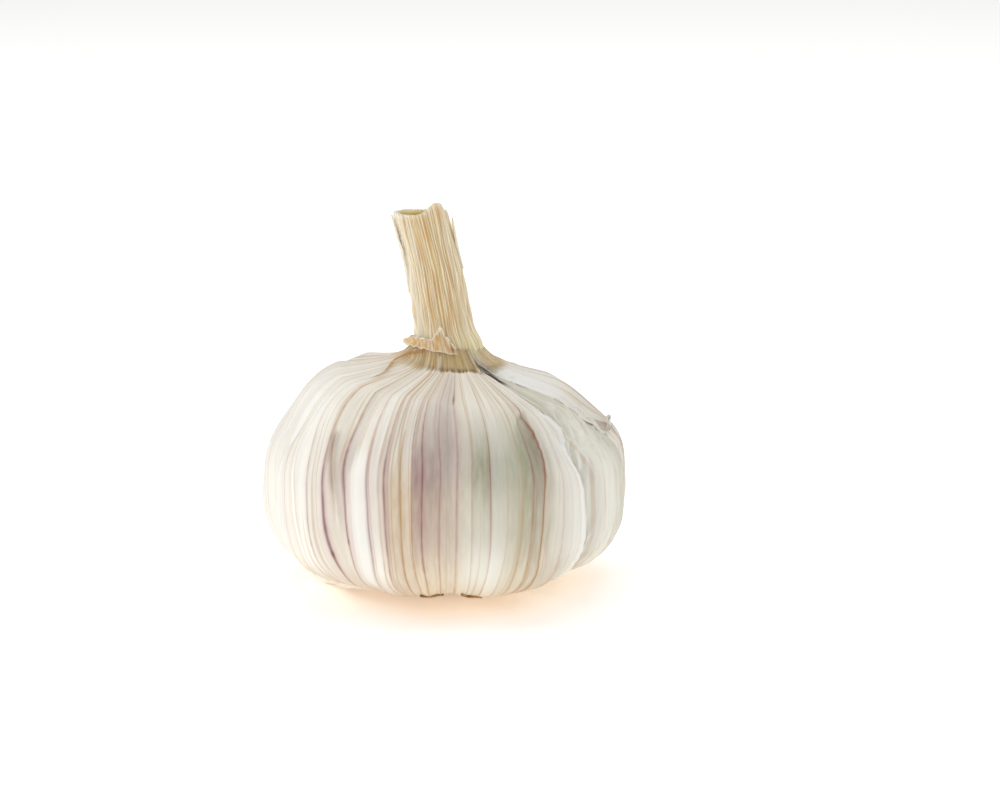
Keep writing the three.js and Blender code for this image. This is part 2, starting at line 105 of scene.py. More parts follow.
print("a rumple runs from", np.round(waves(np.linspace(0, 9, 200), 0.0, 1, 1, 1).min(), 2))

# %% [markdown]
# ## The form of the bulb
# Seen from the side, a garlic bulb is a squashed, squared ellipse: nearly flat under the shoulder, full
# below. A point on it is named by its bearing, the angle round the axis with 0 at the front, and by its
# latitude. Above latitude 58 the skin stops being round and sweeps up like a trumpet to grip the neck, so
# latitudes from 58 to 88 stand for the way up that trumpet. Furrows part the cloves, and the whole top tips
# to the right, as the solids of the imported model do: the same sizes are used here, in millimetres.

# %% The bulb's sizes
# The sag is the flat ring round the shoulder, the tip is how far the top leans to the right for each
# millimetre out, and the recess is the hollow round the root plate.
BULB_RADIUS = 30.2
BULB_HALF_HEIGHT = 17.9
CENTRE_HEIGHT = 19.0
UPPER_SQUARENESS = 2.5
LOWER_SQUARENESS = 3.25
SAG_DEPTH = 2.2
SAG_SIDEWAYS = 0.45
SAG_LATITUDE = 29
SAG_REACH = 23
TIP = 0.09
RECESS_DEPTH = 2.3
RECESS_RADIUS = 9.5
TRUMPET_LATITUDE = 58
RIM_LATITUDE = 88
RIM_TILT = 0.7
CREASE_HEIGHT = 36.4
LOWEST_LATITUDE = -80.5

# The furrows' bearings, and how far each clove between two of them swells out.
FURROWS = np.array([-34.0, 2, 49, 93, 131, 170, 209, 247, 287])
CLOVE_SWELL = np.array([0.1, 0.35, 0.15, 0.3, -0.1, 0.25, -0.15, 0.2, 0.05])

# The neck's line: at each height its centre and its half width and half depth.
NECK_HEIGHT = np.array([33.8, 37.3, 41.8, 52.0, 61.4])
NECK_X = np.array([1.0, 0.9, -0.3, -2.0, -4.15])
NECK_Y = np.array([0.0, 0.0, 0.1, 0.3, 0.5])
NECK_HALF_WIDTH = np.array([5.3, 5.0, 4.65, 4.5, 4.3])
NECK_HALF_DEPTH = np.array([4.2, 3.7, 3.1, 2.6, 2.4])

# A layer of skin: how deep it lies, how deep and sharp its furrows are and how far they fade low down, and
# how far its curve stands out at the neck's foot and at the rim, with the rim's height.
OUTER = dict(offset=0.0, furrow=1.35, sharpness=2.3, shallow=0.65, foot=2.35, rim_gap=0.6, rim=39.6)
INNER = dict(offset=0.85, furrow=2.4, sharpness=3.0, shallow=0.0, foot=1.4, rim_gap=0.2, rim=37.6)

# %% Bearings, cloves and the neck's wall
def front_bearing(bearing):
    """The bearing from -180 to 180, with 0 at the front."""
    return (bearing + 180) % 360 - 180


def clove_place(bearing):
    """The number of the clove at a bearing, and the place across it from -1 to 1."""
    edges = np.append(FURROWS, FURROWS[0] + 360)
    turned = FURROWS[0] + (bearing - FURROWS[0]) % 360
    number = np.clip(np.searchsorted(edges, turned, side="right") - 1, 0, len(FURROWS) - 1)
    return number, 2 * (turned - edges[number]) / (edges[number + 1] - edges[number]) - 1


def neck_point(bearing, height, out):
    """A point `out` outside the neck's smooth wall: an ellipse whose centre and size follow the neck's
    line."""
    x = np.interp(height, NECK_HEIGHT, NECK_X)
    y = np.interp(height, NECK_HEIGHT, NECK_Y)
    width = np.interp(height, NECK_HEIGHT, NECK_HALF_WIDTH)
    depth = np.interp(height, NECK_HEIGHT, NECK_HALF_DEPTH)
    side = x + (width + out) * np.sin(bearing * RAD)
    front = y - (depth + out) * np.cos(bearing * RAD)
    return np.stack(np.broadcast_arrays(side, front, height), axis=-1)


print("the clove at the front is number", clove_place(np.array([0.0]))[0][0])

# %% Points on a skin
def skin_point(bearing, latitude, layer, lift):
    """A point on a layer of skin: a squared ellipse turned about Z, less furrows and sag, plus `lift` along
    its normal, and above the shoulder a curve that is drawn by the shoulder, the neck's foot and the
    rim."""
    below = np.minimum(latitude, TRUMPET_LATITUDE)
    power = np.where(below > 0, UPPER_SQUARENESS, LOWER_SQUARENESS)
    c = np.maximum(np.cos(below * RAD), 1e-4) ** (2 / power)
    s = np.abs(np.sin(below * RAD)) ** (2 / power) * np.sign(below)
    out_r = c ** (power - 1) / BULB_RADIUS
    out_z = np.sign(s) * np.abs(s) ** (power - 1) / BULB_HALF_HEIGHT
    length = np.hypot(out_r, out_z)
    number, across = clove_place(bearing)
    fade = smooth((80 - below) / 40) * smooth((below + 88) / 30)
    tilt = np.sin(bearing * RAD)
    sag = (SAG_DEPTH - SAG_SIDEWAYS * tilt) * bell(below - SAG_LATITUDE, SAG_REACH)
    fade_low = 1 - layer["shallow"] * smooth((-20 - below) / 40)
    furrow = layer["furrow"] * np.abs(across) ** layer["sharpness"] * fade * fade_low
    swell = CLOVE_SWELL[number] * (1 - across**2) * fade
    out = lift + swell - furrow - sag - layer["offset"]
    radius = np.maximum(BULB_RADIUS * c + out_r / length * out, 0)
    recess = np.where(below > 0, 0, RECESS_DEPTH * bell(radius, RECESS_RADIUS))
    tipped = TIP * radius * tilt * smooth(below / 50)
    height = CENTRE_HEIGHT + BULB_HALF_HEIGHT * s + out_z / length * out + recess - tipped
    shoulder = np.stack([radius * tilt, -radius * np.cos(bearing * RAD), height], axis=-1)
    foot = neck_point(bearing, CREASE_HEIGHT - 0.4 * tilt, layer["foot"] + lift)
    foot[..., 2] -= layer["offset"]
    rim = neck_point(bearing, layer["rim"] - RIM_TILT * tilt, layer["rim_gap"] + 0.6 * lift)
    share = np.clip((latitude - TRUMPET_LATITUDE) / (RIM_LATITUDE - TRUMPET_LATITUDE), 0, 1)
    pull = 2 * share * (1 - share) * crease(bearing)
    weights = np.stack(np.broadcast_arrays((1 - share) ** 2, pull, share**2))
    weights = weights / weights.sum(axis=0)
    return shoulder * weights[0][..., None] + foot * weights[1][..., None] + rim * weights[2][..., None]


def crease(bearing):
    """How hard the skin bends at the neck's foot: sharply at the front right, softly on the left
    shoulder."""
    return 1.0 + 5.5 * bell(front_bearing(bearing) - 14, 62)


waist = skin_point(np.array([0.0]), np.array([0.0]), OUTER, 0.0)[0]
print("the waist at the front is at", np.round(waist, 1), "mm")

# %% [markdown]
# ## From a grid of points to a mesh
# Every piece below is a grid: columns go round the bulb and rows go up. `normals` finds the way out at each
# point from its neighbours, and `line_distance` measures how far each point lies from a drawn line, which
# is how a single crease or tear is placed. `sheet_piece` gives a grid a real thickness and closes it all
# round, with a coarser grid inside where nobody looks, and `closed_piece` closes a grid that goes all
# round. Colour is prepared here too: each point carries a few named numbers, such as how much purple vein
# runs through it, and the material reads them by name. `growth_places` lays the UV map out in real
# millimetres, so that fibres keep their size.

# %% Distances and normals
def line_distance(points, line):
    """The distance in millimetres from each point to a line through a few places: the least of the
    distances to its straight stretches, where the nearest place on a stretch is held between its two
    ends."""
    nearest = np.full(points.shape[:-1], np.inf)
    for start, end in zip(line[:-1], line[1:]):
        way = end - start
        share = np.clip((points - start) @ way / max(way @ way, 1e-9), 0, 1)
        nearest = np.minimum(nearest, np.linalg.norm(points - start - share[..., None] * way, axis=-1))
    return nearest


def normals(points):
    """The unit normal at each point of a grid, from the differences to its neighbours along rows and
    columns."""
    out = np.cross(np.gradient(points, axis=1), np.gradient(points, axis=0))
    return out / np.maximum(np.linalg.norm(out, axis=-1, keepdims=True), 1e-9)


def grid_faces(rows, columns, closed, start=0):
    """The quads of a grid whose points are numbered row by row, facing out when columns go right and rows
    up."""
    last = columns if closed else columns - 1
    j, i = np.meshgrid(np.arange(rows - 1), np.arange(last), indexing="ij")
    k = (i + 1) % columns
    corners = [j * columns + i, j * columns + k, (j + 1) * columns + k, (j + 1) * columns + i]
    return np.stack(corners, axis=-1).reshape(-1, 4) + start


print("a grid of 3 by 4 points has", len(grid_faces(3, 4, False)), "quads")

# %% From points to a piece that rides on the bulb
def make_piece(name, points, faces, material, node=None, marks=None, places=None):
    """A smooth-shaded object from points in millimetres, with its marks and UV places, riding on the
    bulb."""
    mesh = bpy.data.meshes.new(name)
    mesh.from_pydata((points * MM).tolist(), [], [list(map(int, face)) for face in faces])
    mesh.validate()
    mesh.polygons.foreach_set("use_smooth", np.ones(len(mesh.polygons), bool))
    for mark, values in (marks or {}).items():
        layer = mesh.attributes.new(mark, "FLOAT", "POINT")
        layer.data.foreach_set("value", np.asarray(values, np.float32).ravel())
    if places is not None:
        corner = np.zeros(len(mesh.loops), np.int32)
        mesh.loops.foreach_get("vertex_index", corner)
        uv = mesh.uv_layers.new(name="Growth")
        uv.data.foreach_set("uv", places.reshape(-1, 2)[corner].astype(np.float32).ravel())
    mesh.materials.append(material)
    piece = bpy.data.objects.new(name, mesh)
    bpy.context.scene.collection.objects.link(piece)
    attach(piece, "root")
    if node:
        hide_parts(node)
    triangles = sum(len(p.vertices) - 2 for p in mesh.polygons)
    size = (points.max(0) - points.min(0)).round(1)
    print(f"{name}: {triangles} triangles, {size} mm")


# %% Sheets with a thickness
def sheet_piece(name, grid, thickness, step, material, node, marks, places):
    """A thin closed sheet: the grid is its outside, and its inside is the same grid taken every `step` rows
    and set back by the thickness. Polygons round the four edges close it."""
    rows, columns = grid.shape[:2]
    kept = np.unique(np.append(np.arange(0, rows, step), rows - 1))
    inside = (grid - normals(grid) * np.broadcast_to(thickness, (rows, columns))[..., None])[kept]
    count = rows * columns
    faces = list(grid_faces(rows, columns, False))
    faces += list(grid_faces(len(kept), columns, False, count)[:, ::-1])
    for i in range(columns - 1):
        faces.append((count + i, count + i + 1, i + 1, i))
        top, back = (rows - 1) * columns + i, count + (len(kept) - 1) * columns + i
        faces.append((top, top + 1, back + 1, back))
    for j, (low, high) in enumerate(zip(kept[:-1], kept[1:])):
        for i, facing in ((0, 1), (columns - 1, -1)):
            edge = [int(row) * columns + i for row in range(low, high + 1)]
            ring = edge + [count + (j + 1) * columns + i, count + j * columns + i]
            faces.append(tuple(ring[::facing]))
    points = np.concatenate([grid.reshape(-1, 3), inside.reshape(-1, 3)])
    both = {mark: np.concatenate([v.ravel(), v[kept].ravel()]) for mark, v in marks.items()}
    flat = np.concatenate([places.reshape(-1, 2), places[kept].reshape(-1, 2)])
    make_piece(name, points, faces, material, node, both, flat)


# %% Grids that close, and where their points lie on the UV map
def closed_grid(grid, middles):
    """The points and faces of a grid that goes all round, closed by a fan of triangles to a middle point at
    its first row and at its last."""
    rows, columns = grid.shape[:2]
    count = rows * columns
    here = np.arange(columns)
    after = (here + 1) % columns
    last = count - columns
    faces = list(grid_faces(rows, columns, True))
    faces += list(np.stack([np.full(columns, count), after, here], axis=-1))
    faces += list(np.stack([np.full(columns, count + 1), last + here, last + after], axis=-1))
    return np.concatenate([grid.reshape(-1, 3), middles]), faces


def closed_piece(name, grid, middles, material, slot, node, marks, places):
    """A piece from a grid that goes all round; each fan's middle point takes the mean of its row's
    marks."""
    points, faces = closed_grid(grid, middles)
    both = {mark: np.append(v.ravel(), [v[0].mean(), v[-1].mean()]) for mark, v in marks.items()}
    flat = np.concatenate([places.reshape(-1, 2), places[[0, -1], 0]])
    make_piece(name, points, faces, material, node, both, flat)


def growth_places(across, grid):
    """The UV of a grid in millimetres: `across` round the piece, and the rows' mean way along it."""
    run = np.append(0, np.cumsum(np.linalg.norm(np.diff(grid, axis=0), axis=-1).mean(axis=1)))
    return np.stack(np.broadcast_arrays(across, run[:, None]), axis=-1)


def stretches(*parts):
    """One rising row of numbers with even steps along each part, given by its start, its end and its
    count."""
    return np.unique(np.concatenate([np.linspace(*part) for part in parts]))


print("two stretches joined:", stretches((0, 1, 3), (1, 4, 4)))

# %% [markdown]
# ## Finishes
# Dried garlic skin is cellulose paper: matt, a little glossy where it is smooth, and it lets light through.
# Its colour lies in fibres that run up the bulb, so every pattern here is stretched along the second
# direction of the UV map called Growth, which holds millimetres round and millimetres up. Colours are
# written as sRGB hex values, as a paint chart would give them, and one function turns them into the linear
# values Blender wants.

# %% Colour and node tools
# A Mix node has sockets of the same name for numbers and for colours, so its colour sockets go by number.
MIX_SHARE, MIX_FIRST, MIX_SECOND, MIX_RESULT = 0, 6, 7, 2


def linear(chart):
    """An sRGB colour such as "#F4EEDF" as linear red, green and blue, with alpha."""
    parts = [int(chart[i : i + 2], 16) / 255 for i in (1, 3, 5)]
    return [c / 12.92 if c <= 0.04045 else ((c + 0.055) / 1.055) ** 2.4 for c in parts] + [1.0]


def add_node(tree, kind, inputs=None, **settings):
    """Adds a node with its settings. An input that is given a socket is linked to it, any other is set."""
    node = tree.nodes.new(kind)
    for name, value in settings.items():
        setattr(node, name, value)
    for name, value in (inputs or {}).items():
        if isinstance(value, bpy.types.NodeSocket):
            tree.links.new(value, node.inputs[name])
        else:
            node.inputs[name].default_value = value
    return node


def new_finish(name):
    """An empty material with its main shader, and the place in millimetres that its patterns read."""
    material = bpy.data.materials.new(name)
    material.use_nodes = True
    tree = material.node_tree
    shader = tree.nodes["Principled BSDF"]
    place = add_node(tree, "ShaderNodeUVMap", uv_map="Growth").outputs["UV"]
    return material, tree, shader, place


print("paper white in linear light:", np.round(linear("#F4EFE3")[:3], 2))

# %% Fibres, washes and the main shader
def streaks(tree, place, wide, long, detail=3.0, seed=0.0):
    """Noise stretched into fibres, from 0 to 1: `wide` and `long` are a fibre's size in millimetres."""
    stretch = {"Vector": place, "Location": (seed, 0, seed), "Scale": (1 / wide, 1 / long, 1)}
    moved = add_node(tree, "ShaderNodeMapping", stretch).outputs["Vector"]
    noise = add_node(tree, "ShaderNodeTexNoise", {"Vector": moved, "Scale": 1.0, "Detail": detail})
    return noise.outputs["Fac"]


def stained(tree, base, washes, patchy):
    """Washes of colour laid over a base one after another. Each wash is a mark's name, a chart colour and
    how much it takes from the patchy noise, which breaks its edge up into fibres."""
    for mark, chart, broken in washes:
        amount = add_node(tree, "ShaderNodeAttribute", attribute_name=mark).outputs["Fac"]
        levels = {"Value": patchy, "From Min": 0.3, "From Max": 0.7, "To Min": 1 - broken}
        rough = add_node(tree, "ShaderNodeMapRange", levels).outputs["Result"]
        both = {0: amount, 1: rough}
        share = add_node(tree, "ShaderNodeMath", both, operation="MULTIPLY", use_clamp=True).outputs[0]
        colours = {MIX_SHARE: share, MIX_FIRST: base, MIX_SECOND: linear(chart)}
        base = add_node(tree, "ShaderNodeMix", colours, data_type="RGBA").outputs[MIX_RESULT]
    return base


def dress(tree, shader, colour, height, strength, depth, roughness):
    """Gives the main shader its colour and roughness, and a relief `depth` millimetres deep from a
    pattern."""
    bumps = {"Height": height, "Strength": strength, "Distance": depth * MM}
    relief = add_node(tree, "ShaderNodeBump", bumps)
    tree.links.new(colour, shader.inputs["Base Color"])
    tree.links.new(relief.outputs["Normal"], shader.inputs["Normal"])
    shader.inputs["Roughness"].default_value = roughness


def let_light_in(shader, weight, reach):
    """Scatters a share of the light inside, up to 1.2 mm deep; `reach` says how far red, green and
    blue get."""
    shader.inputs["Subsurface Weight"].default_value = weight
    shader.inputs["Subsurface Radius"].default_value = reach
    shader.inputs["Subsurface Scale"].default_value = 1.2 * MM


# %% [markdown]
# ## The tunic's finish
# A tunic leaf is built of long cells. Between the veins it is cream with pale and sandy fibres, and thin
# tan lines wander through it. Those lines are found where a slow, stretched noise crosses its middle value:
# contour lines of such a noise run up the bulb, join and part, as the small veins do. The purple of the
# main veins, the greenish and mauve washes and the white of a torn edge come from marks on the points, made
# with the shape.

# %% Papery tunic, a dried leaf sheath
def papery_tunic(name, pale, sandy, fibre_show, line_show, sheen):
    """Fibres of two tones under thin tan lines and washes, with a fine fibre relief and light scattered
    inside."""
    material, tree, shader, place = new_finish(name)
    fibre = streaks(tree, place, 0.3, 18.0, 4.0)
    panel = streaks(tree, place, 2.2, 110.0, 1.0, 7.0)
    fleck = streaks(tree, place, 0.6, 3.5, 4.0, 3.0)
    levels = {"Value": fibre, "From Min": 0.35, "From Max": 0.72, "To Min": 0.1, "To Max": fibre_show}
    tone = add_node(tree, "ShaderNodeMapRange", levels).outputs["Result"]
    tones = {MIX_SHARE: tone, MIX_FIRST: linear(pale), MIX_SECOND: linear(sandy)}
    ground = add_node(tree, "ShaderNodeMix", tones, data_type="RGBA").outputs[MIX_RESULT]
    off_line = add_node(tree, "ShaderNodeMath", {0: panel, 1: 0.5}, operation="SUBTRACT").outputs[0]
    from_line = add_node(tree, "ShaderNodeMath", {0: off_line}, operation="ABSOLUTE").outputs[0]
    levels = {"Value": from_line, "From Min": 0.008, "From Max": 0.03, "To Min": line_show, "To Max": 0.0}
    line = add_node(tree, "ShaderNodeMapRange", levels).outputs["Result"]
    tones = {MIX_SHARE: line, MIX_FIRST: ground, MIX_SECOND: linear("#C49C62")}
    lined = add_node(tree, "ShaderNodeMix", tones, data_type="RGBA").outputs[MIX_RESULT]
    dress(tree, shader, stained(tree, lined, TUNIC_WASHES, fleck), fibre, 0.5, 0.06, sheen)
    let_light_in(shader, 0.12, (1.0, 0.75, 0.45))
    shader.inputs["IOR"].default_value = 1.45
    return material


TUNIC_WASHES = [
    ("gold", "#D2B076", 0.5),
    ("straw", "#BF9D52", 0.3),
    ("green", "#9C9F80", 0.25),
    ("mauve", "#A58880", 0.3),
    ("rose", "#CC8F9C", 0.3),
    ("tan", "#B4823C", 0.2),
    ("purple", "#742541", 0.15),
    ("white", "#FBF9F2", 0.1),
    # The dark wash: real specks, and painted shade in the neck's crease, the small fold and the rent's gaps.
    ("dark", "#5F3510", 0.0),
]
outer_finish = papery_tunic("papery tunic", "#FCF8EE", "#EADCBF", 0.42, 0.5, 0.42)

# The leaf under it never saw the weather, so it is paler, greener and a little glossier.
inner_finish = papery_tunic("fresh inner tunic", "#F5F4EB", "#DCDCCB", 0.5, 0.3, 0.38)
print("finishes:", outer_finish.name, "and", inner_finish.name)

# %% [markdown]
# ## Where the veins run
# The veins are the bundles that fed the leaf. Each has a bearing at the waist, a strength of purple and of
# tan, a half width in degrees, and the latitude where its purple is deepest. Those at the front are placed
# one by one; round the back they are drawn at random, with the same spacing and the same mix of strengths.
# A column of the grid runs along every vein, so that a line a third of a millimetre wide stays sharp.

# %% The veins, at the front one by one and behind by chance
# Each vein: its bearing, purple and tan from 0 to 1, half width in degrees, latitude of the deepest purple.
VEIN_SEED = 5
FRONT_VEINS = [
    (-86, 0.15, 0.35, 0.43, 0),
    (-80, 0.3, 0.2, 0.43, 10),
    (-74.5, 0.1, 0.35, 0.36, 0),
    (-69, 0.35, 0.15, 0.43, 5),
    (-65, 0.1, 0.25, 0.36, 0),
    (-60.6, 0.6, 0.1, 0.43, 5),
    (-56, 0.25, 0.2, 0.36, 0),
    (-53.5, 0.15, 0.25, 0.36, 0),
    (-48, 0.4, 0.35, 0.49, -5),
    (-40.8, 1.0, 0.3, 0.7, -8),
    (-33.2, 1.0, 0.4, 0.63, 5),
    (-24.4, 0.75, 0.3, 0.56, -2),
    (-20, 0.1, 0.5, 0.56, 0),
    (-18.2, 0.6, 0.35, 0.49, 10),
    (-13.2, 0.05, 0.5, 0.49, 0),
    (-9.8, 0.3, 0.3, 0.36, 20),
    (-6.9, 0.65, 0.3, 0.49, 12),
    (-1.7, 0.35, 0.45, 0.43, 10),
    (3.7, 0.5, 0.5, 0.43, 15),
    (8.5, 0.25, 0.25, 0.36, 20),
    (13.9, 0.35, 0.4, 0.43, 15),
    (18.7, 0.05, 0.4, 0.36, 0),
    (23.4, 0.05, 0.6, 0.49, 0),
    (26.8, 0.3, 0.35, 0.43, 20),
    (30.2, 0.42, 0.8, 0.38, 28),
    (36.4, 0.3, 0.55, 0.49, 5),
    (43.4, 0.1, 0.65, 0.43, 0),
]


def chance_veins(first, last, seed):
    """Veins between two bearings, 3 to 8 degrees apart; about one in five is a strong purple one."""
    draw = np.random.default_rng(seed)
    veins = []
    bearing = first + draw.uniform(2, 5)
    while bearing < last:
        strong = draw.uniform() < 0.2
        purple = draw.uniform(0.7, 1.0) if strong else draw.uniform(0, 0.5)
        half = draw.uniform(0.5, 0.65) if strong else draw.uniform(0.32, 0.45)
        veins.append((bearing, purple, draw.uniform(0.1, 0.55), half, draw.uniform(-10, 25)))
        bearing += draw.uniform(3, 8)
    return veins


RENT_LEFT = 46.0
RENT_RIGHT = 76.0
BACK_VEINS = chance_veins(RENT_RIGHT, 272, VEIN_SEED)
VEINS = [(bearing + 360, *rest) for bearing, *rest in FRONT_VEINS] + BACK_VEINS
print(len(VEINS), "veins, of which", sum(vein[1] > 0.7 for vein in VEINS), "are strong purple")

# %% [markdown]
# ## The rent and the lie of the columns
# At the front right the outer tunic has split from the neck to the root and shows the leaf beneath. Its two
# edges are given as bearings at a few latitudes and joined by a smooth curve, with teeth added where the
# paper tore. A column near the rent swings aside to follow the edge, and the others lean away from the
# front as they climb, as the veins do.

# %% The rent's edges
# Each edge is a row of latitudes, with the edge's bearing at each.
LEFT_EDGE = np.array([
    (-80, 58), (-62, 57), (-52, 53), (-42, 51.5), (-31, 51), (-19, 51), (-7, 50.5),
    (5, 49.5), (17, 48.5), (28, 49.5), (33, 50.5), (41, 52.5), (48, 52), (54, 48.5),
    (60, 43), (66, 39), (72, 35.5), (78, 34), (88, 33.5),
])
RIGHT_EDGE = np.array([
    (-80, 66), (-62, 68), (-52, 74), (-42, 80), (-31, 85), (-19, 88), (-7, 89),
    (5, 89), (17, 86.5), (24, 84), (28, 81), (33, 77.5), (41, 74), (48, 72), (57, 70.5),
    (62.5, 67), (66, 64), (69, 63), (72, 61.5), (76, 57), (80, 48), (88, 36.5),
])


def curve(x, xs, ys):
    """A smooth curve through given points, as a Catmull-Rom curve: between two points it is the cubic whose
    slopes there are those of the chords across each point."""
    slopes = np.gradient(ys, xs)
    k = np.clip(np.searchsorted(xs, x) - 1, 0, len(xs) - 2)
    step = xs[k + 1] - xs[k]
    t = np.clip((x - xs[k]) / step, 0, 1)
    rise = ys[k] * (1 + 2 * t) * (1 - t) ** 2 + ys[k + 1] * t * t * (3 - 2 * t)
    return rise + step * (slopes[k] * t * (1 - t) ** 2 - slopes[k + 1] * t * t * (1 - t))


def rent_edges(latitude):
    """The bearings of the rent's two edges, with teeth a few millimetres long and a fraction of one
    deep."""
    left = curve(latitude, *LEFT_EDGE.T) + 0.22 * waves(0.0, latitude, 1, 9, 31)
    right = curve(latitude, *RIGHT_EDGE.T) + 0.5 * waves(0.0, latitude, 1, 9, 32)
    return left + 0.12 * waves(0.0, latitude, 1, 2, 33), right + 0.25 * waves(0.0, latitude, 1, 2.4, 34)


print("the rent's edges at the waist:", np.round(rent_edges(0.0), 1), "degrees")

# %% Where the columns run
SWING_LEFT = 26
SWING_RIGHT = 40
LEAN = 12


def column_bearing(column, latitude):
    """Where a column runs at a latitude: it leans away from the front on the way up, and near the rent it
    swings to follow the torn edge."""
    left_edge, right_edge = rent_edges(latitude)
    from_right = column - RENT_RIGHT
    from_left = RENT_LEFT + 360 - column
    away = smooth(np.minimum(from_left, from_right) / 14)
    rise = smooth((latitude + 20) / 55) - smooth(20 / 55)
    lean = LEAN * np.sin(column * RAD) * rise + 0.4 * waves(column, latitude, 28, 80, 35)
    swing = (right_edge - RENT_RIGHT) * (1 - smooth(from_right / SWING_RIGHT))
    swing = swing + (left_edge - RENT_LEFT) * (1 - smooth(from_left / SWING_LEFT))
    return column + swing + lean * away


print("the first column is at", round(float(column_bearing(RENT_RIGHT, 0.0)), 1), "degrees at the waist")

# %% Columns and rows of the outer tunic
SHOWN_FROM = 272.0
FRONT_STEP = 0.55
BACK_STEP = 1.3
FOLD_FROM = -40.6
FOLD_TO = -35.2
EDGE_STEPS = (0.0, 0.15, 0.4)


def outer_columns():
    """The columns of the outer tunic: close ones at both torn edges and at the small fold, five along each
    vein, and others between, closer in front than behind."""
    places = [RENT_RIGHT + step for step in EDGE_STEPS] + [RENT_LEFT + 360 - step for step in EDGE_STEPS]
    for bearing, _, _, half, _ in VEINS:
        places += [bearing + half * step for step in (-1.7, -0.8, 0.0, 0.8, 1.7)]
    places += list(np.arange(FOLD_FROM, FOLD_TO, 0.2) + 360)
    places = np.unique(np.clip(places, RENT_RIGHT, RENT_LEFT + 360))
    places = places[np.append(np.diff(places) > 0.1, True)]
    filled = [places[:1]]
    for low, high in zip(places[:-1], places[1:]):
        pieces = math.ceil((high - low) / (FRONT_STEP if low > SHOWN_FROM else BACK_STEP))
        filled.append(np.linspace(low, high, pieces + 1)[1:])
    return np.concatenate(filled)


COLUMNS = outer_columns()
ROWS = stretches((LOWEST_LATITUDE, 30, 56), (30, 64, 31), (64, RIM_LATITUDE, 38))
print(len(COLUMNS), "columns and", len(ROWS), "rows")

# %% [markdown]
# ## The outer tunic's relief
# A garlic skin shrinks round the cloves as it dries, so it is never plain: the veins stand out as fine
# ribs, the leaf between them rumples lengthwise, and where it is drawn in round the neck it gathers into
# pleats. One height field adds these up, with the flattened face of the clove at the front right, the pleat
# where an outer sheet ends on the left shoulder, a small lengthwise fold, the lifted left edge of the rent
# and its right edge laid down onto the inner skin.

# %% The flattened face of the clove
FACE_TOP = 51.5


def ridge(latitude):
    """The bearing of the ridge at the right of the flattened face: a line that leans to the right on the
    way up."""
    return 33.0 + 0.1 * latitude


def under_face_top(bearing, latitude):
    """A step under the flattened face's upper edge: crisp beside the ridge, soft and ragged further from
    it."""
    reach = lerp(1.6, 18.0, smooth((ridge(latitude) - bearing - 3) / 9))
    return smooth((FACE_TOP + 0.9 * waves(bearing, 0.0, 8, 1, 54) - latitude) / reach)


def facet(bearing, latitude):
    """The clove's flattened face at the front right, which ends in a ridge at its right and at the
    shoulder."""
    across = smooth((bearing - 8) / 26) * smooth((ridge(latitude) - bearing) / 2.0)
    return -0.8 * across * under_face_top(bearing, latitude) * smooth((latitude + 20) / 40)


print("the face lies", round(float(-facet(30.0, 45.0)), 2), "mm deep beside its ridge")

# %% Drawn lines: the edge of the outer sheet and the white pleat
SHEET_EDGE = [(-30, 88), (-52, 85), (-70, 81), (-77, 75), (-69, 70), (-61, 66), (-54, 62.5), (-51, 60)]
SHEET_EDGE_HEIGHT = 0.5
# The white pleat is a small ridge, and its white mark is a painted highlight on it.
WHITE_PLEAT = [(-14, 86), (-15, 80), (-17, 75), (-19, 70)]


def drawn(places, layer=OUTER, count=60):
    """A drawn line's points in millimetres: the places, as bearings and latitudes, joined by a smooth
    curve."""
    places = np.array(places, float)
    along = np.arange(len(places))
    fine = np.linspace(0, len(places) - 1, count)
    return skin_point(curve(fine, along, places[:, 0]), curve(fine, along, places[:, 1]), layer, 0.0)


print("the outer sheet's edge starts at", drawn(SHEET_EDGE)[0].round(1), "mm")

# %% Ribs of the neck and gathers round it
RIB_SPACING = 5.6
GATHER_SPACING = 5.2


def neck_ribs(bearing, height):
    """Ribs over 5 degrees apart, unevenly spaced and a little wavy near the foot, as heights from 0 to
    1."""
    wander = 2.2 * waves(bearing, height, 60, 12, 73) * smooth((46 - height) / 8)
    wander = wander + 0.4 * waves(bearing, height, 50, 9, 74)
    place = (bearing + wander) / RIB_SPACING + 0.45 * waves(bearing + wander, 0.0, 17, 1, 75)
    return np.abs(np.sin(np.pi * place)) ** 0.6 * (0.75 + 0.25 * waves(bearing, height, 9, 18, 76))


def pleats(column, bearing, latitude):
    """Gathers round the neck, as heights from 0 to 1: above the crease they are the neck's own ribs, and on
    the shoulder they part along the columns, about 5 degrees apart, and die away."""
    phase = column / GATHER_SPACING + 0.35 * waves(column, 0.0, 25, 1, 41)
    crest = 1 - np.abs(np.sin(np.pi * phase)) ** 0.8
    ribs = neck_ribs(bearing, CREASE_HEIGHT + 3)
    both = lerp(crest, ribs, smooth((latitude - 74) / 10))
    return both * (0.12 * smooth((latitude - 46) / 20) + 0.88 * smooth((latitude - 69) / 5))


print("pleats at the neck run from 0 to", round(float(pleats(COLUMNS, COLUMNS, 80.0).max()), 2))

# %% The small fold, and the wrinkles of the inner skin
def fold_line(latitude):
    """The bearing of the small lengthwise fold at the front left."""
    return -36.6 - 2.6 * smooth((latitude - 4) / 28)


def inner_height(bearing, latitude):
    """The inner skin's hollow beside the neck, its facet, and wrinkles that run with the rent's right
    edge."""
    front = front_bearing(bearing)
    height = -0.8 * bell(front - 50, 11) * bell(latitude - 60, 12) + facet(front, latitude)
    along = front - 0.22 * latitude
    shown = smooth((front - 30) / 10) * smooth((112 - front) / 14) * smooth((latitude + 70) / 30)
    height += shown * 0.16 * waves(along, latitude, 4.2, 60, 61)
    height += shown * 0.07 * waves(along, latitude, 1.8, 30, 62)
    height += shown * 0.14 * waves(front, latitude, 14, 9, 63) * smooth((latitude - 10) / 30)
    return height - 0.25 * shown * bell(front - 59, 2.2) * smooth((latitude - 15) / 25)


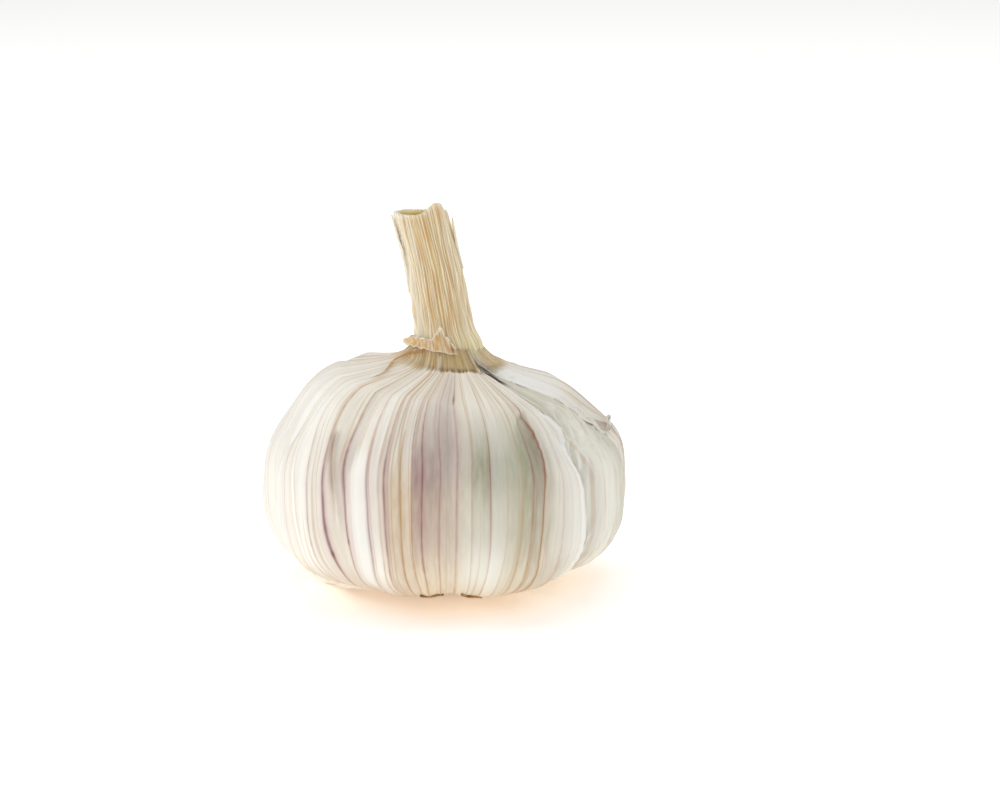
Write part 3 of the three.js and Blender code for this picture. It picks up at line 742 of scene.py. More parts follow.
print("the inner skin's hollow beside the neck is", round(float(-inner_height(50.0, 60.0)), 2), "mm deep")

# %% Height of the outer tunic over its smooth form
RIGHT_EDGE_SINK = 0.06


def outer_height(column, bearing, latitude):
    """All the relief of the outer tunic, in millimetres."""
    front = front_bearing(bearing)
    low = smooth((latitude + 84) / 25)
    height = 0.05 * waves(column, latitude, 5.5, 90, 42) * low
    height += 0.03 * waves(column, latitude, 2.6, 60, 43) * low
    height += 0.1 * waves(column, latitude, 22, 80, 44, 10) * low
    for at, purple, tan, half, _ in VEINS:
        height += (0.04 + 0.06 * max(purple, tan)) * bell(column - at, 1.3 * half) * low
    height += 0.36 * pleats(column, bearing, latitude)
    height += facet(front, latitude)
    plain = skin_point(bearing, latitude, OUTER, 0.0)
    height += SHEET_EDGE_HEIGHT * bell(line_distance(plain, drawn(SHEET_EDGE)), 0.5)
    height += 0.25 * bell(line_distance(plain, drawn(WHITE_PLEAT)), 0.35)
    reach = smooth((latitude + 8) / 14) * smooth((36 - latitude) / 8)
    off = front_bearing(column) - fold_line(latitude)
    height += reach * (0.45 * bell(off - 0.8, 0.6) - 0.5 * bell(off + 0.25, 0.6))
    from_right = column - RENT_RIGHT
    from_left = RENT_LEFT + 360 - column
    lift = smooth((latitude + 45) / 50) * smooth((84 - latitude) / 16)
    gape = 0.12 + 0.12 * bell(latitude - 66, 9) + 0.3 * bell(latitude - 39, 6)
    height += gape * lift * (1 - smooth(from_left / 5))
    settled = inner_height(bearing, latitude) - INNER["offset"] - RIGHT_EDGE_SINK
    return lerp(height, settled, 1 - smooth(from_right / 10))


edge_height = outer_height(RENT_LEFT + 360, 50.0, 39.0)
print("at latitude 39 its left edge stands", round(float(edge_height), 2), "mm proud")

# %% [markdown]
# ## The outer tunic's colour
# Colour goes on as marks: one number per point for each wash. A vein is purple in the middle of its run
# with a rosy halo, and tan towards the root, where the fibres brown first. The broad washes are soft
# patches between bearings and latitudes: a mauve band left of the front with one hard edge, greenish grey
# on the face, partly its own tint and partly painted shade where the face turns from the light, gold and
# tan low down, and white in a few patches. Near the neck the leaf has dried to straw, with painted shade
# in it: greener in the hollow at the neck's foot and dark in the crease. The drawn lines and torn edges get
# marks of their own, among them a painted highlight on the white pleat and a dark line of painted shade in
# the small fold.

# %% Tables of the soft washes
# Patches: the wash, its strength, left and right bearing, low and high latitude, softness across and up
PATCHES = [
    ("mauve", 0.2, -47, -29, -34, 32, 5, 26),
    ("mauve", 0.3, -26, -17, -10, 40, 4, 30),
    ("mauve", 0.34, -62, -16, -90, -34, 16, 22),
    ("gold", 0.14, -4, 60, -64, 18, 10, 30),
    ("gold", 0.22, -10, 6, -44, 8, 3, 24),
    ("gold", 0.25, -18, 3.5, -70, 12, 3, 26),
    ("gold", 0.0625, 19, 40, -75, -8, 5, 20),
    ("tan", 0.14, -18, 3.5, -70, 12, 3, 26),
    ("tan", 0.035, 19, 40, -75, -8, 5, 20),
    ("green", 0.18, 4, 42, -56, 0, 8, 24),
    ("white", 0.5, -30.5, -25, -40, 25, 2, 18),
    ("white", 0.4, -85, -50, -30, 60, 14, 30),
    ("white", 0.3, 33, 46, -20, 60, 3, 18),
]

# Round washes and dark knots: the wash, its strength, bearing, reach across, latitude, reach up
ROUNDS = [
    ("green", 0.85, 12, 8, 20, 24),
    ("gold", 0.4, -13.5, 3.4, 4, 26),
    ("gold", 0.24, 23, 5, -1, 17),
    ("white", 0.5, 12, 6, -22, 18),
    ("tan", 0.6, 76, 16, 77, 4),
    ("dark", 0.8, -40.8, 0.5, -19, 1.6),
    ("dark", 0.8, -33.2, 0.4, -10, 1.2),
    ("dark", 0.8, 5.5, 0.3, 5, 0.6),
    ("dark", 0.8, 3.6, 0.5, 58.5, 0.7),
]


def patch(column, latitude, left, right, low, high, soft, soft_up):
    """A soft patch between two columns and two latitudes."""
    sides = smooth((column - left) / soft + 0.5) * smooth((right - column) / soft + 0.5)
    return sides * smooth((latitude - low) / soft_up + 0.5) * smooth((high - latitude) / soft_up + 0.5)


def blank_marks(shape):
    """A mark of 0 at every point for each wash of the tunic."""
    return {wash[0]: np.zeros(shape) for wash in TUNIC_WASHES}


print(len(PATCHES), "patches and", len(ROUNDS), "round washes")

# %% Marks of the veins and the broad washes
def vein_marks(marks, column, latitude):
    """Each vein is a thin broken line, purple in the middle of its run and tan at its ends, in a rosy
    halo."""
    for at, purple, tan, half, deepest in VEINS:
        line = bell(column - at, 0.68 * half)
        line = line * (0.9 + 0.14 * waves(at, latitude, 3, 9, int(at * 10)))
        run = bell(latitude - deepest, 32)
        low_run = 0.7 + 0.5 * smooth((15 - latitude) / 40) + 0.3 * smooth((latitude - 50) / 20)
        marks["purple"] += min(1.3, 1.6 * purple) * run * line
        marks["rose"] += 0.4 * purple * run * bell(column - at, 2.9 * half)
        marks["tan"] += (1.3 * tan * low_run + 0.7 * purple * (1 - run)) * line


def broad_marks(marks, column, latitude):
    """The patches and rounds of the tables, the mauve band at the front, and mauve waves behind."""
    front = front_bearing(column)
    for name, strength, *sizes in PATCHES:
        marks[name] += strength * patch(front, latitude, *sizes)
    for name, strength, at, wide, up, tall in ROUNDS:
        marks[name] += strength * bell(front - at, wide) * bell(latitude - up, tall)
    marks["green"] += 0.85 * bell(front - 26, 9) * bell(latitude - 18, 28) * smooth((36 - front) / 4)
    band = 0.85 * bell(front + 7, 5) * bell(latitude - 14, 22)
    band += 0.65 * bell(front - 0.5, 5) * bell(latitude - 34, 26)
    band += 0.3 * patch(front, latitude, -12, 6, -20, 66, 7, 30)
    marks["mauve"] += smooth((front + 10.2) / 0.9) * band
    behind = smooth((np.abs(front - 5) - 85) / 25)
    long_waves = smooth(waves(column, latitude, 16, 420, 51) * 1.2) * smooth((latitude + 60) / 60)
    marks["mauve"] += 0.36 * behind * long_waves
    marks["gold"] += 0.1 * smooth((-18 - latitude) / 40)
    marks["tan"] += 0.15 * smooth((-30 - latitude) / 40) * smooth(waves(column, 0.0, 9, 1, 52) + 0.4)


# %% Marks of the face, the neck's foot, the drawn lines and the torn edges
def face_marks(marks, column, bearing, latitude):
    """Greenish grey on the flattened face under its upper edge, and fainter beyond the ridge: partly the
    skin's own tint and partly painted shade where the face turns from the light.
    """
    turned = front_bearing(bearing)
    on_face = smooth((turned - 20) / 12) * smooth((ridge(latitude) - turned) / 1.2)
    marks["green"] += 0.45 * on_face * under_face_top(turned, latitude) * smooth((latitude - 8) / 30)
    in_front = 1 - smooth((np.abs(front_bearing(column) - 5) - 85) / 25)
    beside_ridge = smooth((turned - ridge(latitude)) / 1.5) * smooth((60 - latitude) / 30)
    marks["green"] += 0.16 * beside_ridge * in_front


def straw_marks(marks, column, bearing, latitude):
    """Straw near the neck, which ends crisply at the front right and in a fringe along the gathers
    elsewhere, with painted shade in it: green where the concave foot of the neck lies in shade, and dark in
    the crease between the gathers."""
    turned = front_bearing(bearing)
    gathers = 1 - pleats(column, bearing, np.maximum(latitude, 76.0))
    sharp = bell(turned - 14, 48)
    fringe = 3.0 * (gathers - 0.5) + 1.5 * waves(column, 0.0, 11, 1, 53)
    near_neck = smooth((latitude + fringe - lerp(65.0, 70.5, sharp)) / lerp(17.0, 4.0, sharp))
    marks["straw"] += near_neck * lerp(0.5 + 0.5 * gathers, 0.85 + 0.15 * gathers, sharp)
    # Painted shade: greener in the hollow at the neck's foot, and dark in the crease between the gathers.
    marks["green"] += 0.45 * near_neck * bell(turned + 8, 34) * bell(latitude - 72, 8)
    crease_shade = near_neck * bell(latitude - 74, 6) * bell(turned - 10, 34)
    marks["dark"] += crease_shade * (0.08 + 0.7 * gathers) * smooth((84 - latitude) / 6)


def line_marks(marks, column, bearing, latitude):
    """Tan under the edge of the outer sheet, white on the pleat as a painted highlight, and along the fold
    a dark line of painted shade with tan and mauve beside it.
    """
    plain = skin_point(bearing, latitude, OUTER, 0.0)
    from_sheet = line_distance(plain, drawn(SHEET_EDGE))
    marks["tan"] += 1.1 * bell(from_sheet, 0.26) + 0.3 * bell(from_sheet, 0.8)
    # Painted highlight along the white pleat.
    marks["white"] += 0.5 * bell(line_distance(plain, drawn(WHITE_PLEAT)), 0.22)
    off = front_bearing(column) - fold_line(latitude)
    reach = smooth((latitude + 4) / 14) * smooth((35 - latitude) / 8)
    # Painted shade: the dark line in the fold.
    marks["dark"] += 0.95 * reach * bell(off + 0.1, 0.26)
    marks["tan"] += 0.7 * reach * bell(off - 0.7, 0.4)
    marks["mauve"] += 0.5 * reach * bell(off + 0.9, 1.4)


def torn_edge_marks(marks, column, latitude):
    """Bare white along both torn edges and on the right flap, and tan on the right edge where it has
    frayed."""
    from_right = column - RENT_RIGHT
    edge = np.minimum(from_right, RENT_LEFT + 360 - column)
    marks["white"] += 0.9 * (1 - smooth(edge / 2.2)) + 0.4 * (1 - smooth(edge / 12))
    right_flap = smooth((latitude - 50) / 12) * (1 - smooth(from_right / 60))
    marks["white"] += 0.8 * right_flap * smooth((76 - latitude) / 6)
    marks["tan"] += 0.8 * (1 - smooth(from_right)) * bell(latitude - 14, 7)


# %% Tints of the panels, and all marks together
PANEL_SEED = 23


def panel_marks(marks, column, latitude):
    """Every panel between two veins has a slightly different tint, drawn at random and fading towards its
    ends."""
    draw = np.random.default_rng(PANEL_SEED).uniform(0, 1, (len(VEINS) + 1, 3))
    panel = draw[np.searchsorted(np.sort([vein[0] for vein in VEINS]), column)]
    along = smooth((latitude + 75) / 40) * smooth((85 - latitude) / 40)
    for name, place, strength in (("mauve", 0, 0.26), ("gold", 1, 0.3), ("white", 2, 0.3)):
        marks[name] += strength * np.maximum(panel[..., place] - 0.35, 0) / 0.65 * along


def outer_marks(column, bearing, latitude):
    """The washes of the outer tunic, each from 0 to 1 at every point: the sum of all of the above."""
    marks = blank_marks(latitude.shape)
    vein_marks(marks, column, latitude)
    broad_marks(marks, column, latitude)
    face_marks(marks, column, bearing, latitude)
    straw_marks(marks, column, bearing, latitude)
    line_marks(marks, column, bearing, latitude)
    torn_edge_marks(marks, column, latitude)
    panel_marks(marks, column, latitude)
    return {name: np.clip(values, 0, 1) for name, values in marks.items()}


# %% Build the outer tunic
OUTER_THICKNESS = 0.28
SEATED_EDGE = 0.15


def outer_tunic():
    """The outer leaf as one thin closed sheet, open at the rent, with its UV in millimetres. Its right edge
    is drawn onto the inner skin, which it lies on, and is thinner there."""
    column, latitude = np.meshgrid(COLUMNS, ROWS)
    bearing = column_bearing(column, latitude)
    free = skin_point(bearing, latitude, OUTER, outer_height(column, bearing, latitude))
    seat = skin_point(bearing, latitude, INNER, inner_height(bearing, latitude) + SEATED_EDGE)
    seated = (1 - smooth((column - RENT_RIGHT) / 10)) * smooth((80 - latitude) / 8)
    grid = lerp(free, seat, seated[..., None])
    places = growth_places(column * RAD * BULB_RADIUS, grid)
    marks = outer_marks(column, bearing, latitude)
    thickness = OUTER_THICKNESS * (0.3 + 0.7 * smooth((column - RENT_RIGHT) / 6))
    sheet_piece("outer_tunic", grid, thickness, 6, outer_finish, "outer_skin", marks, places)


outer_tunic()

# %% [markdown]
# ## The cloves in their inner skin
# Under the torn leaf the cloves are still wrapped in a fresher one. It is a closed body with a deep furrow
# between each two cloves. Where it shows in the rent it is shrivelled: its fibres wrinkle along the edge of
# the clove behind them. Beside the neck the rent is so narrow and deep that no light comes in, so a dark
# mark stands for that depth. Its top turns down round the neck as the wall of a well, so that the neck can
# stand in it.

# %% Painted shade in the depths, and the washes of the inner skin
# The lower slit runs along the gap under the rent's lifted left edge; it is darkened as a painted shadow.
LOWER_SLIT = [(54.2, 45), (54.1, 40), (52.9, 36)]
GAP_RIGHT = 61.5
GAP_FOOT = 61.5
SHOWN_FIBRES = (51, 61, 69)


def deep_gap(bearing, latitude):
    """Painted shade for the depth of the rent beside the neck, from one torn edge to the other, which
    ends at the hollow."""
    left_edge, right_edge = rent_edges(latitude)
    inside = smooth((bearing - left_edge + 2) / 2)
    inside = inside * smooth((np.minimum(right_edge, GAP_RIGHT) + 0.5 - bearing) / 1.5)
    return inside * smooth((latitude - GAP_FOOT) / 3)


def inner_marks(front, level, grid):
    """The inner skin's washes: green above, gold low down and at the right, tan fibres, and painted shade
    in the deep rent and in the slit low on the rent."""
    marks = blank_marks(level.shape)
    marks["green"] += 0.18 * smooth((level - 30) / 30)
    marks["green"] += 0.34 * smooth((front - 62) / 14) * smooth((50 - level) / 20)
    marks["gold"] += 0.3 * smooth((-20 - level) / 40) + 0.25 * smooth((level - 80) / 8)
    marks["gold"] += 0.26 * bell(front - 74, 16)
    for at in SHOWN_FIBRES:
        marks["tan"] += 0.5 * bell(front - at - 0.03 * level, 0.35) * smooth((20 - level) / 50)
    marks["white"] += 0.4 * bell(front - 68, 9) * smooth((60 - level) / 20)
    marks["mauve"] += 0.25 * bell(front - 57, 3) * smooth((30 - level) / 30)
    # Painted shade: the deep rent beside the neck is darkened for its depth.
    marks["dark"] += 0.95 * deep_gap(front, level)
    # Painted shadow of the lifted left edge along the lower slit.
    marks["dark"] += 0.9 * bell(line_distance(grid, drawn(LOWER_SLIT, INNER)), 0.28)
    return marks


print("beside the neck the gap's dark is", round(float(deep_gap(50.0, 66.0)), 2))

# %% Build the inner skin
WELL_HEIGHTS = (36.8, 35.6, 34.4)
WELL_FLOOR = 33.9


def inner_skin():
    """A closed body: the skin's rows from pole to rim, then the wall of the neck's well, closed at its
    foot."""
    columns = stretches((34, 108, 190), (108, 394, 190))[:-1]
    rows = stretches((-89, 10, 34), (10, 66, 50), (66, RIM_LATITUDE, 22))
    bearing, latitude = np.meshgrid(columns, rows)
    skin = skin_point(bearing, latitude, INNER, inner_height(bearing, latitude))
    well = [neck_point(columns, np.full(columns.shape, height), 0.2)[None] for height in WELL_HEIGHTS]
    grid = np.concatenate([skin, *well])
    middles = np.array([[0, 0, skin[0, :, 2].mean()], [NECK_X[0], NECK_Y[0], WELL_FLOOR]])
    places = growth_places(columns * RAD * BULB_RADIUS, grid)
    front = np.broadcast_to(front_bearing(columns), grid.shape[:2])
    level = np.concatenate([latitude, np.full((len(well), len(columns)), RIM_LATITUDE)])
    marks = inner_marks(front, level, grid)
    finish = (inner_finish, "inner_skin", "cloves_in_inner_skin")
    closed_piece("cloves_inner_skin", grid, middles, *finish, marks, places)


inner_skin()

# %% [markdown]
# ## The neck
# The neck is the false stem: a roll of leaf bases that dried to straw and was cut through. Its outside is
# all fibres, which stand up as fine ribs half a millimetre apart, cream on tan. The cut end is open, with a
# golden inside, a folded lip on the right and frayed fibres round the rim. Its grid goes up the outside,
# over the rim and down the inside, so that it is one closed skin.

# %% Finish of the neck and the collar: dried straw
def dried_straw(name, low, high, deep, gloss):
    """Straw fibres in two tones, with the ribs' crests pale and their valleys deeper, partly painted
    highlight and shade where the ribs stand up, and a fibre relief."""
    material, tree, shader, place = new_finish(name)
    fibre = streaks(tree, place, 0.14, 9.0, 4.0, 2.0)
    patchy = streaks(tree, place, 1.3, 7.0, 3.0, 5.0)
    crest = add_node(tree, "ShaderNodeAttribute", attribute_name="crest").outputs["Fac"]
    both = add_node(tree, "ShaderNodeMath", {0: fibre, 1: 0.6, 2: crest}, operation="MULTIPLY_ADD")
    levels = {"Value": both.outputs[0], "From Min": 0.38, "From Max": 1.15}
    tone = add_node(tree, "ShaderNodeMapRange", levels)
    tones = {MIX_SHARE: tone.outputs["Result"], MIX_FIRST: linear(low), MIX_SECOND: linear(high)}
    ground = add_node(tree, "ShaderNodeMix", tones, data_type="RGBA").outputs[MIX_RESULT]
    washes = [("tan", "#D9A564", 0.4), ("gold", deep, 0.2)]
    # The dark wash is painted shade: in the valleys at the neck's foot and in the collar's curled knot.
    washes += [("white", "#FAF4E6", 0.2), ("dark", "#5F4528", 0.1)]
    dress(tree, shader, stained(tree, ground, washes, patchy), fibre, 0.6, 0.08, gloss)
    let_light_in(shader, 0.25, (1.0, 0.7, 0.35))
    return material


neck_finish = dried_straw("dried straw fibre", "#D2AC62", "#FFF8E2", "#EBD272", 0.62)
collar_finish = dried_straw("torn straw sheath", "#E6BC85", "#FCEFD8", "#DDB36C", 0.6)
print("finishes:", neck_finish.name, "and", collar_finish.name)

# %% The neck's outside and its hollow
NECK_TOP = 61.4
NECK_FOOT = 34.0
NECK_WALL = 0.8
NECK_RADIUS = 4.0
FOOT_SWELL = 0.5
HOLLOW_DEPTH = 4.5
NECK_COLUMNS = 440
NECK_ROWS = 118
HOLLOW_ROWS = 21
LIP = ((0.05, 0.04), (0.12, 0.0))


def neck_rim(bearing):
    """The cut end's height: a folded lip at the right of the front, a notch beside it, and frayed
    fibres."""
    front = front_bearing(bearing)
    frayed = 0.05 * waves(bearing, 0.0, 9, 1, 71) + 0.04 * waves(bearing, 0.0, 2.4, 1, 72)
    shape = 1.75 * bell(front - 38, 24) - 1.5 * bell(front - 82, 7) - 0.25 * bell(front + 30, 45)
    return shape + frayed - 0.25


def neck_outside(bearing, height, ribs, from_seam):
    """The neck's outer wall: ribs and rumples over the smooth neck, swollen at its foot, up to the ragged
    rim."""
    rumple = 0.18 * waves(bearing, height, 70, 14, 77) + 0.1 * waves(bearing, height, 24, 9, 78)
    swollen = FOOT_SWELL * smooth((43.2 - height) / 3.4)
    rumple = rumple * from_seam * (1 - 0.7 * swollen)
    wall = neck_point(bearing, height, 0.36 * ribs - 0.2 + rumple + swollen)
    wall[..., 2] = height + neck_rim(bearing) * smooth((height - NECK_TOP + 6) / 6)
    return wall


def neck_hollow(columns):
    """The wall of the cut end's hollow, from just under the rim down to its floor."""
    inward = np.linspace(0, 1, HOLLOW_ROWS + 1)[1:, None]
    bearing, height = np.broadcast_arrays(columns, NECK_TOP - HOLLOW_DEPTH * inward)
    hollow = neck_point(bearing, height, -NECK_WALL)
    hollow[..., 2] += neck_rim(bearing) * smooth(1 - 1.5 * inward) - 0.2
    return hollow


print("the folded lip rises", round(float(neck_rim(38.0)), 2), "mm over the cut")

# %% Build the neck
def neck_tints(front, level, crest, inside):
    """The neck's marks: pale crests, less striped at the right, tan patches, a golden hollow and a white
    rim. The pale crests and the white on them at the left are partly painted highlight, and the dark in the
    valleys at the foot is painted shade."""
    outside = 1 - inside
    striped = 0.62 + 0.38 * smooth((-5 - front) / 30) + 0.3 * smooth((front - 30) / 20)
    patches = smooth((waves(front, level, 30, 12, 79) + 0.1) * 1.2) * smooth((level - 38) / 8)
    white = 0.6 * smooth((-25 - front) / 25) * crest + 0.5 * smooth(level - 60.4)
    return {
        "crest": crest * striped + 0.25 * (1 - striped) + 0.2 * smooth((44 - level) / 4),
        "gold": inside + 0.3 * smooth((43.5 - level) / 4) * outside,
        "tan": 0.35 * patches * outside,
        "white": white * outside,
        # Painted shade in the rib valleys at the foot.
        "dark": 0.14 * smooth((43 - level) / 4) * (1 - crest),
    }


def neck():
    """The neck's grid: up the outside, over the rim and down the hollow, closed at both ends. Its first
    column is at the rent, where nobody sees the ribs fade into the seam."""
    columns = RENT_RIGHT + np.arange(NECK_COLUMNS) * 360 / NECK_COLUMNS
    bearing, height = np.meshgrid(columns, np.linspace(NECK_FOOT, NECK_TOP, NECK_ROWS))
    from_seam = smooth(np.minimum(bearing - RENT_RIGHT, RENT_RIGHT + 360 - bearing) / 4)
    ribs = lerp(0.5, neck_ribs(bearing, height), from_seam)
    wall = neck_outside(bearing, height, ribs, from_seam)
    rim = wall[-1]
    centre = rim.mean(axis=0)
    lip = [rim + (centre - rim) * share * np.array([1, 1, 0]) + [0, 0, up] for share, up in LIP]
    hollow = neck_hollow(columns)
    grid = np.concatenate([wall, np.stack(lip), hollow])
    middles = np.array([wall[0].mean(axis=0), hollow[-1].mean(axis=0)])
    beyond = (len(LIP) + HOLLOW_ROWS, NECK_COLUMNS)
    level = np.concatenate([height, np.full(beyond, NECK_TOP)])
    crest = np.concatenate([ribs, np.full(beyond, 0.4)])
    row = np.broadcast_to(np.arange(len(grid))[:, None], level.shape)
    front = np.broadcast_to(front_bearing(columns), level.shape)
    marks = neck_tints(front, level, crest, smooth((row - NECK_ROWS) / 3))
    places = growth_places(columns * RAD * NECK_RADIUS, grid)
    closed_piece("neck_stem", grid, middles, neck_finish, "neck", "neck", marks, places)


neck()

# %% [markdown]
# ## The collar and two slivers
# Round the neck's foot hangs a torn collar, the ragged end of a tan sheath, so thin that light comes
# through. Its foot curls out over the crease and its top is torn to a peak at the front. Two pale slivers
# of the same sheath have split from the left and the right side of the neck. All three are strips between
# two bearings, worked out on the neck's own wall.

# %% Build the collar
COLLAR_FROM = -104.0
COLLAR_TO = 12.0
COLLAR_FOOT = 39.4


def collar():
    """A ragged strip: its foot follows the neck's foot, and its top is a broad rise, a peak and many
    teeth."""
    share, up = np.meshgrid(np.linspace(0, 1, 260), np.linspace(0, 1, 34))
    bearing = lerp(COLLAR_FROM, COLLAR_TO, share)
    ends = smooth(share / 0.7) * smooth((1 - share) / 0.06)
    teeth = 0.14 * waves(share, 0.0, 0.1, 1, 81, 10) + 0.08 * waves(share, 0.0, 0.03, 1, 82)
    low = COLLAR_FOOT - RIM_TILT * np.sin(bearing * RAD) - 0.5 * share
    low = low + 0.1 * waves(share, 0.0, 0.14, 1, 83)
    peaks = 2.1 * bell(share - 0.86, 0.035) + 1.3 * bell(share - 0.79, 0.06)
    peaks = peaks + 0.9 * bell(share - 0.93, 0.03)
    high = low + 0.7 + (1.0 + peaks + teeth) * ends
    height = lerp(low, high, up)
    skirt = 0.5 + 0.9 * bell(share - 0.1, 0.3)
    curl = skirt * (1 - up) ** 2 + 0.25 * smooth((up - 0.7) / 0.3) * ends
    rumple = 0.1 * waves(share, up, 0.12, 1.2, 84) + 0.04 * waves(share, up, 0.03, 1.5, 85)
    grid = neck_point(bearing, height, 1.05 + curl + rumple)
    places = np.stack([bearing * RAD * 5, height], axis=-1)
    rib = 0.55 + 0.3 * np.sin(2 * np.pi * bearing / 6.5 + 2 * waves(share, 0.0, 0.2, 1, 86))
    marks = {
        "crest": rib,
        "tan": 0.5 + 0.3 * waves(share, up, 0.2, 1.5, 87) - 0.35 * smooth((up - 0.75) / 0.25),
        "gold": 0.3 * (1 - up),
        "white": 0.9 * smooth((up - 0.86) / 0.1) + 0.7 * bell(up, 0.06) + 0.5 * bell(share - 0.68, 0.012),
        # Painted shade in the hole of the curled knot at the strip's right end.
        "dark": 1.0 * bell(share - 0.955, 0.016) * bell(up - 0.35, 0.25),
    }
    marks = {name: np.clip(values, 0, 1) for name, values in marks.items()}
    sheet_piece("torn_collar_strip", grid, 0.25, 3, collar_finish, "torn_collar", marks, places)


collar()

# %% Build the two slivers
def sliver(name, bearing, low, high, wide, stand, seed):
    """A strip of sheath that stands off the neck: narrow at its lower end, and furthest out at its top."""
    across, up = np.meshgrid(np.linspace(-1, 1, 9), np.linspace(0, 1, 70))
    half = wide * (0.15 + np.sin(np.pi * up) ** 0.7) * (1 + 0.2 * waves(0.0, up, 1, 0.3, seed))
    height = lerp(low, high, up)
    out = 0.3 + stand * smooth(up) ** 2 - 0.15 * across**2
    grid = neck_point(bearing + across * half, height, out)
    places = np.stack([across * wide * RAD * 5, height], axis=-1)
    marks = {"crest": 0.6 + 0.2 * across, "white": np.full(up.shape, 0.55), "tan": 0.15 * up}
    marks["gold"] = marks["dark"] = np.zeros(up.shape)
    sheet_piece(name, grid, 0.22, 3, collar_finish, None, marks, places)


sliver("neck_sliver_left", -84, 48.0, 60.6, 12, 0.35, 91)
sliver("neck_sliver_right", 84, 52.0, 60.2, 9, 0.3, 92)

# %% [markdown]
# ## The loose tongue and the flake
# At the lower left a tongue of the outermost leaf has peeled away from the bulb and dried standing off it.
# It is a patch of the bulb's own surface, lifted most at its lower edge, that narrows to a torn point at
# the left. A much smaller chip has curled up on the right, on the torn edge. Both are made from the skin's
# own formula.

# %% Build the loose tongue
TONGUE_FROM = -104.0
TONGUE_TO = -36.0
TONGUE_LATITUDE = -52.0
TONGUE_HALF = 10.5
TONGUE_LIFT = 2.3
TONGUE_FIBRES = (0.3, 0.42, 0.55, 0.63, 0.78, 0.86)


def tongue():
    """A patch of the bulb's own surface between two bearings: it narrows to a torn point at its left end,
    and its lift off the skin grows towards its lower edge and its point."""
    place, share = np.meshgrid(np.linspace(-1, 1, 40), np.linspace(0, 1, 90), indexing="ij")
    width = smooth(share / 0.55) ** 0.7 * (0.35 + 0.65 * smooth((1 - share) / 0.45))
    torn = 1 + 0.1 * waves(place * 0, share, 1, 0.12, 95)
    bearing = lerp(TONGUE_FROM, TONGUE_TO, share)
    latitude = TONGUE_LATITUDE - 5 * share + place * (TONGUE_HALF * width * torn + 0.4)
    hanging = lerp(0.85, smooth((0.75 - place) / 1.6), smooth(width / 0.6))
    free = hanging * smooth((1 - share) / 0.75)
    lift = 0.12 + TONGUE_LIFT * free + 0.08 * waves(place, share, 0.7, 0.4, 96)
    grid = skin_point(bearing, latitude, OUTER, lift)
    grid[..., 2] = np.maximum(grid[..., 2], 0.35)
    places = np.stack([share * 34, place * 5], axis=-1)
    marks = blank_marks(share.shape)
    marks["gold"] += 0.15 * share
    for at in TONGUE_FIBRES:
        marks["tan"] += 0.5 * bell(share - at, 0.012)
    marks["white"] += 0.4 + 0.5 * smooth((np.abs(place) - 0.85) / 0.15)
    sheet_piece("loose_tongue", grid, 0.25, 4, outer_finish, None, marks, places)


tongue()

# %% Build the curled flake
FLAKE_BEARING = 97.0
FLAKE_LATITUDE = 24.0
FLAKE_LIFT = 1.5


def flake():
    """A chip that has curled up from the rent's right edge: a ragged oval, lifted towards its left and
    top."""
    across, up = np.meshgrid(np.linspace(-1, 1, 30), np.linspace(-1, 1, 22))
    ragged = np.sqrt(1.02 - up**2) * (1 + 0.16 * waves(across * 0, up, 1, 0.5, 97))
    bearing = FLAKE_BEARING + 6.0 * across * ragged
    latitude = FLAKE_LATITUDE + 3.4 * up * (1 + 0.14 * waves(across, up * 0, 0.4, 1, 98))
    lift = -0.5 + (FLAKE_LIFT + 0.5) * smooth((up - 0.4 * across + 1.2) / 2.2)
    grid = skin_point(bearing, latitude, OUTER, lift)
    places = np.stack([across * 3, up * 2], axis=-1)
    marks = blank_marks(up.shape)
    marks["white"] += 0.8
    marks["tan"] += 0.3 * smooth((-0.5 - up) / 0.5)
    sheet_piece("curled_flake", grid, 0.22, 3, outer_finish, None, marks, places)


flake()

# %% [markdown]
# ## The root plate
# Under the bulb sits the root plate: a low disc of brown cork, where the roots were trimmed to short wiry
# stubs. It is a grid from the rim to the middle of its underside, closed at the top, and each stub is a
# small tapered tube with seven sides that bends as it leaves the plate. Two longer bits of root cling to
# the skin at the front, each a tube along a line drawn on it. Cork is dull and crumbly, so its finish is
# two browns and grain.

# %% Finish of the root plate: cork with dry roots
def dry_cork():
    """Two browns broken up by coarse and fine grain, with a rough relief."""
    material, tree, shader, _ = new_finish("dry root cork")
    solid = add_node(tree, "ShaderNodeTexCoord").outputs["Object"]
    coarse = {"Vector": solid, "Scale": 1 / (0.9 * MM), "Detail": 6.0}
    grain = add_node(tree, "ShaderNodeTexNoise", coarse).outputs["Fac"]
    levels = {"Value": grain, "From Min": 0.35, "From Max": 0.68}
    mixed = add_node(tree, "ShaderNodeMapRange", levels).outputs["Result"]
    browns = {MIX_SHARE: mixed, MIX_FIRST: linear("#6B4A24"), MIX_SECOND: linear("#C79A55")}
    brown = add_node(tree, "ShaderNodeMix", browns, data_type="RGBA").outputs[MIX_RESULT]
    dress(tree, shader, brown, grain, 0.8, 0.3, 0.85)
    return material


cork_finish = dry_cork()
print("finish:", cork_finish.name)

# %% The plate's grid
PLATE_RADIUS = 7.0
PLATE_UNDER = ((0.6, 0.02), (5.2, 0.02))
PLATE_SIDE = np.array([[5.2, 0.02], [6.2, 0.25], [PLATE_RADIUS, 1.1], [6.6, 2.0], [5.2, 2.2]])
PLATE_TOP = ((5.2, 2.2), (0.6, 2.2))
PLATE_COLUMNS = 200


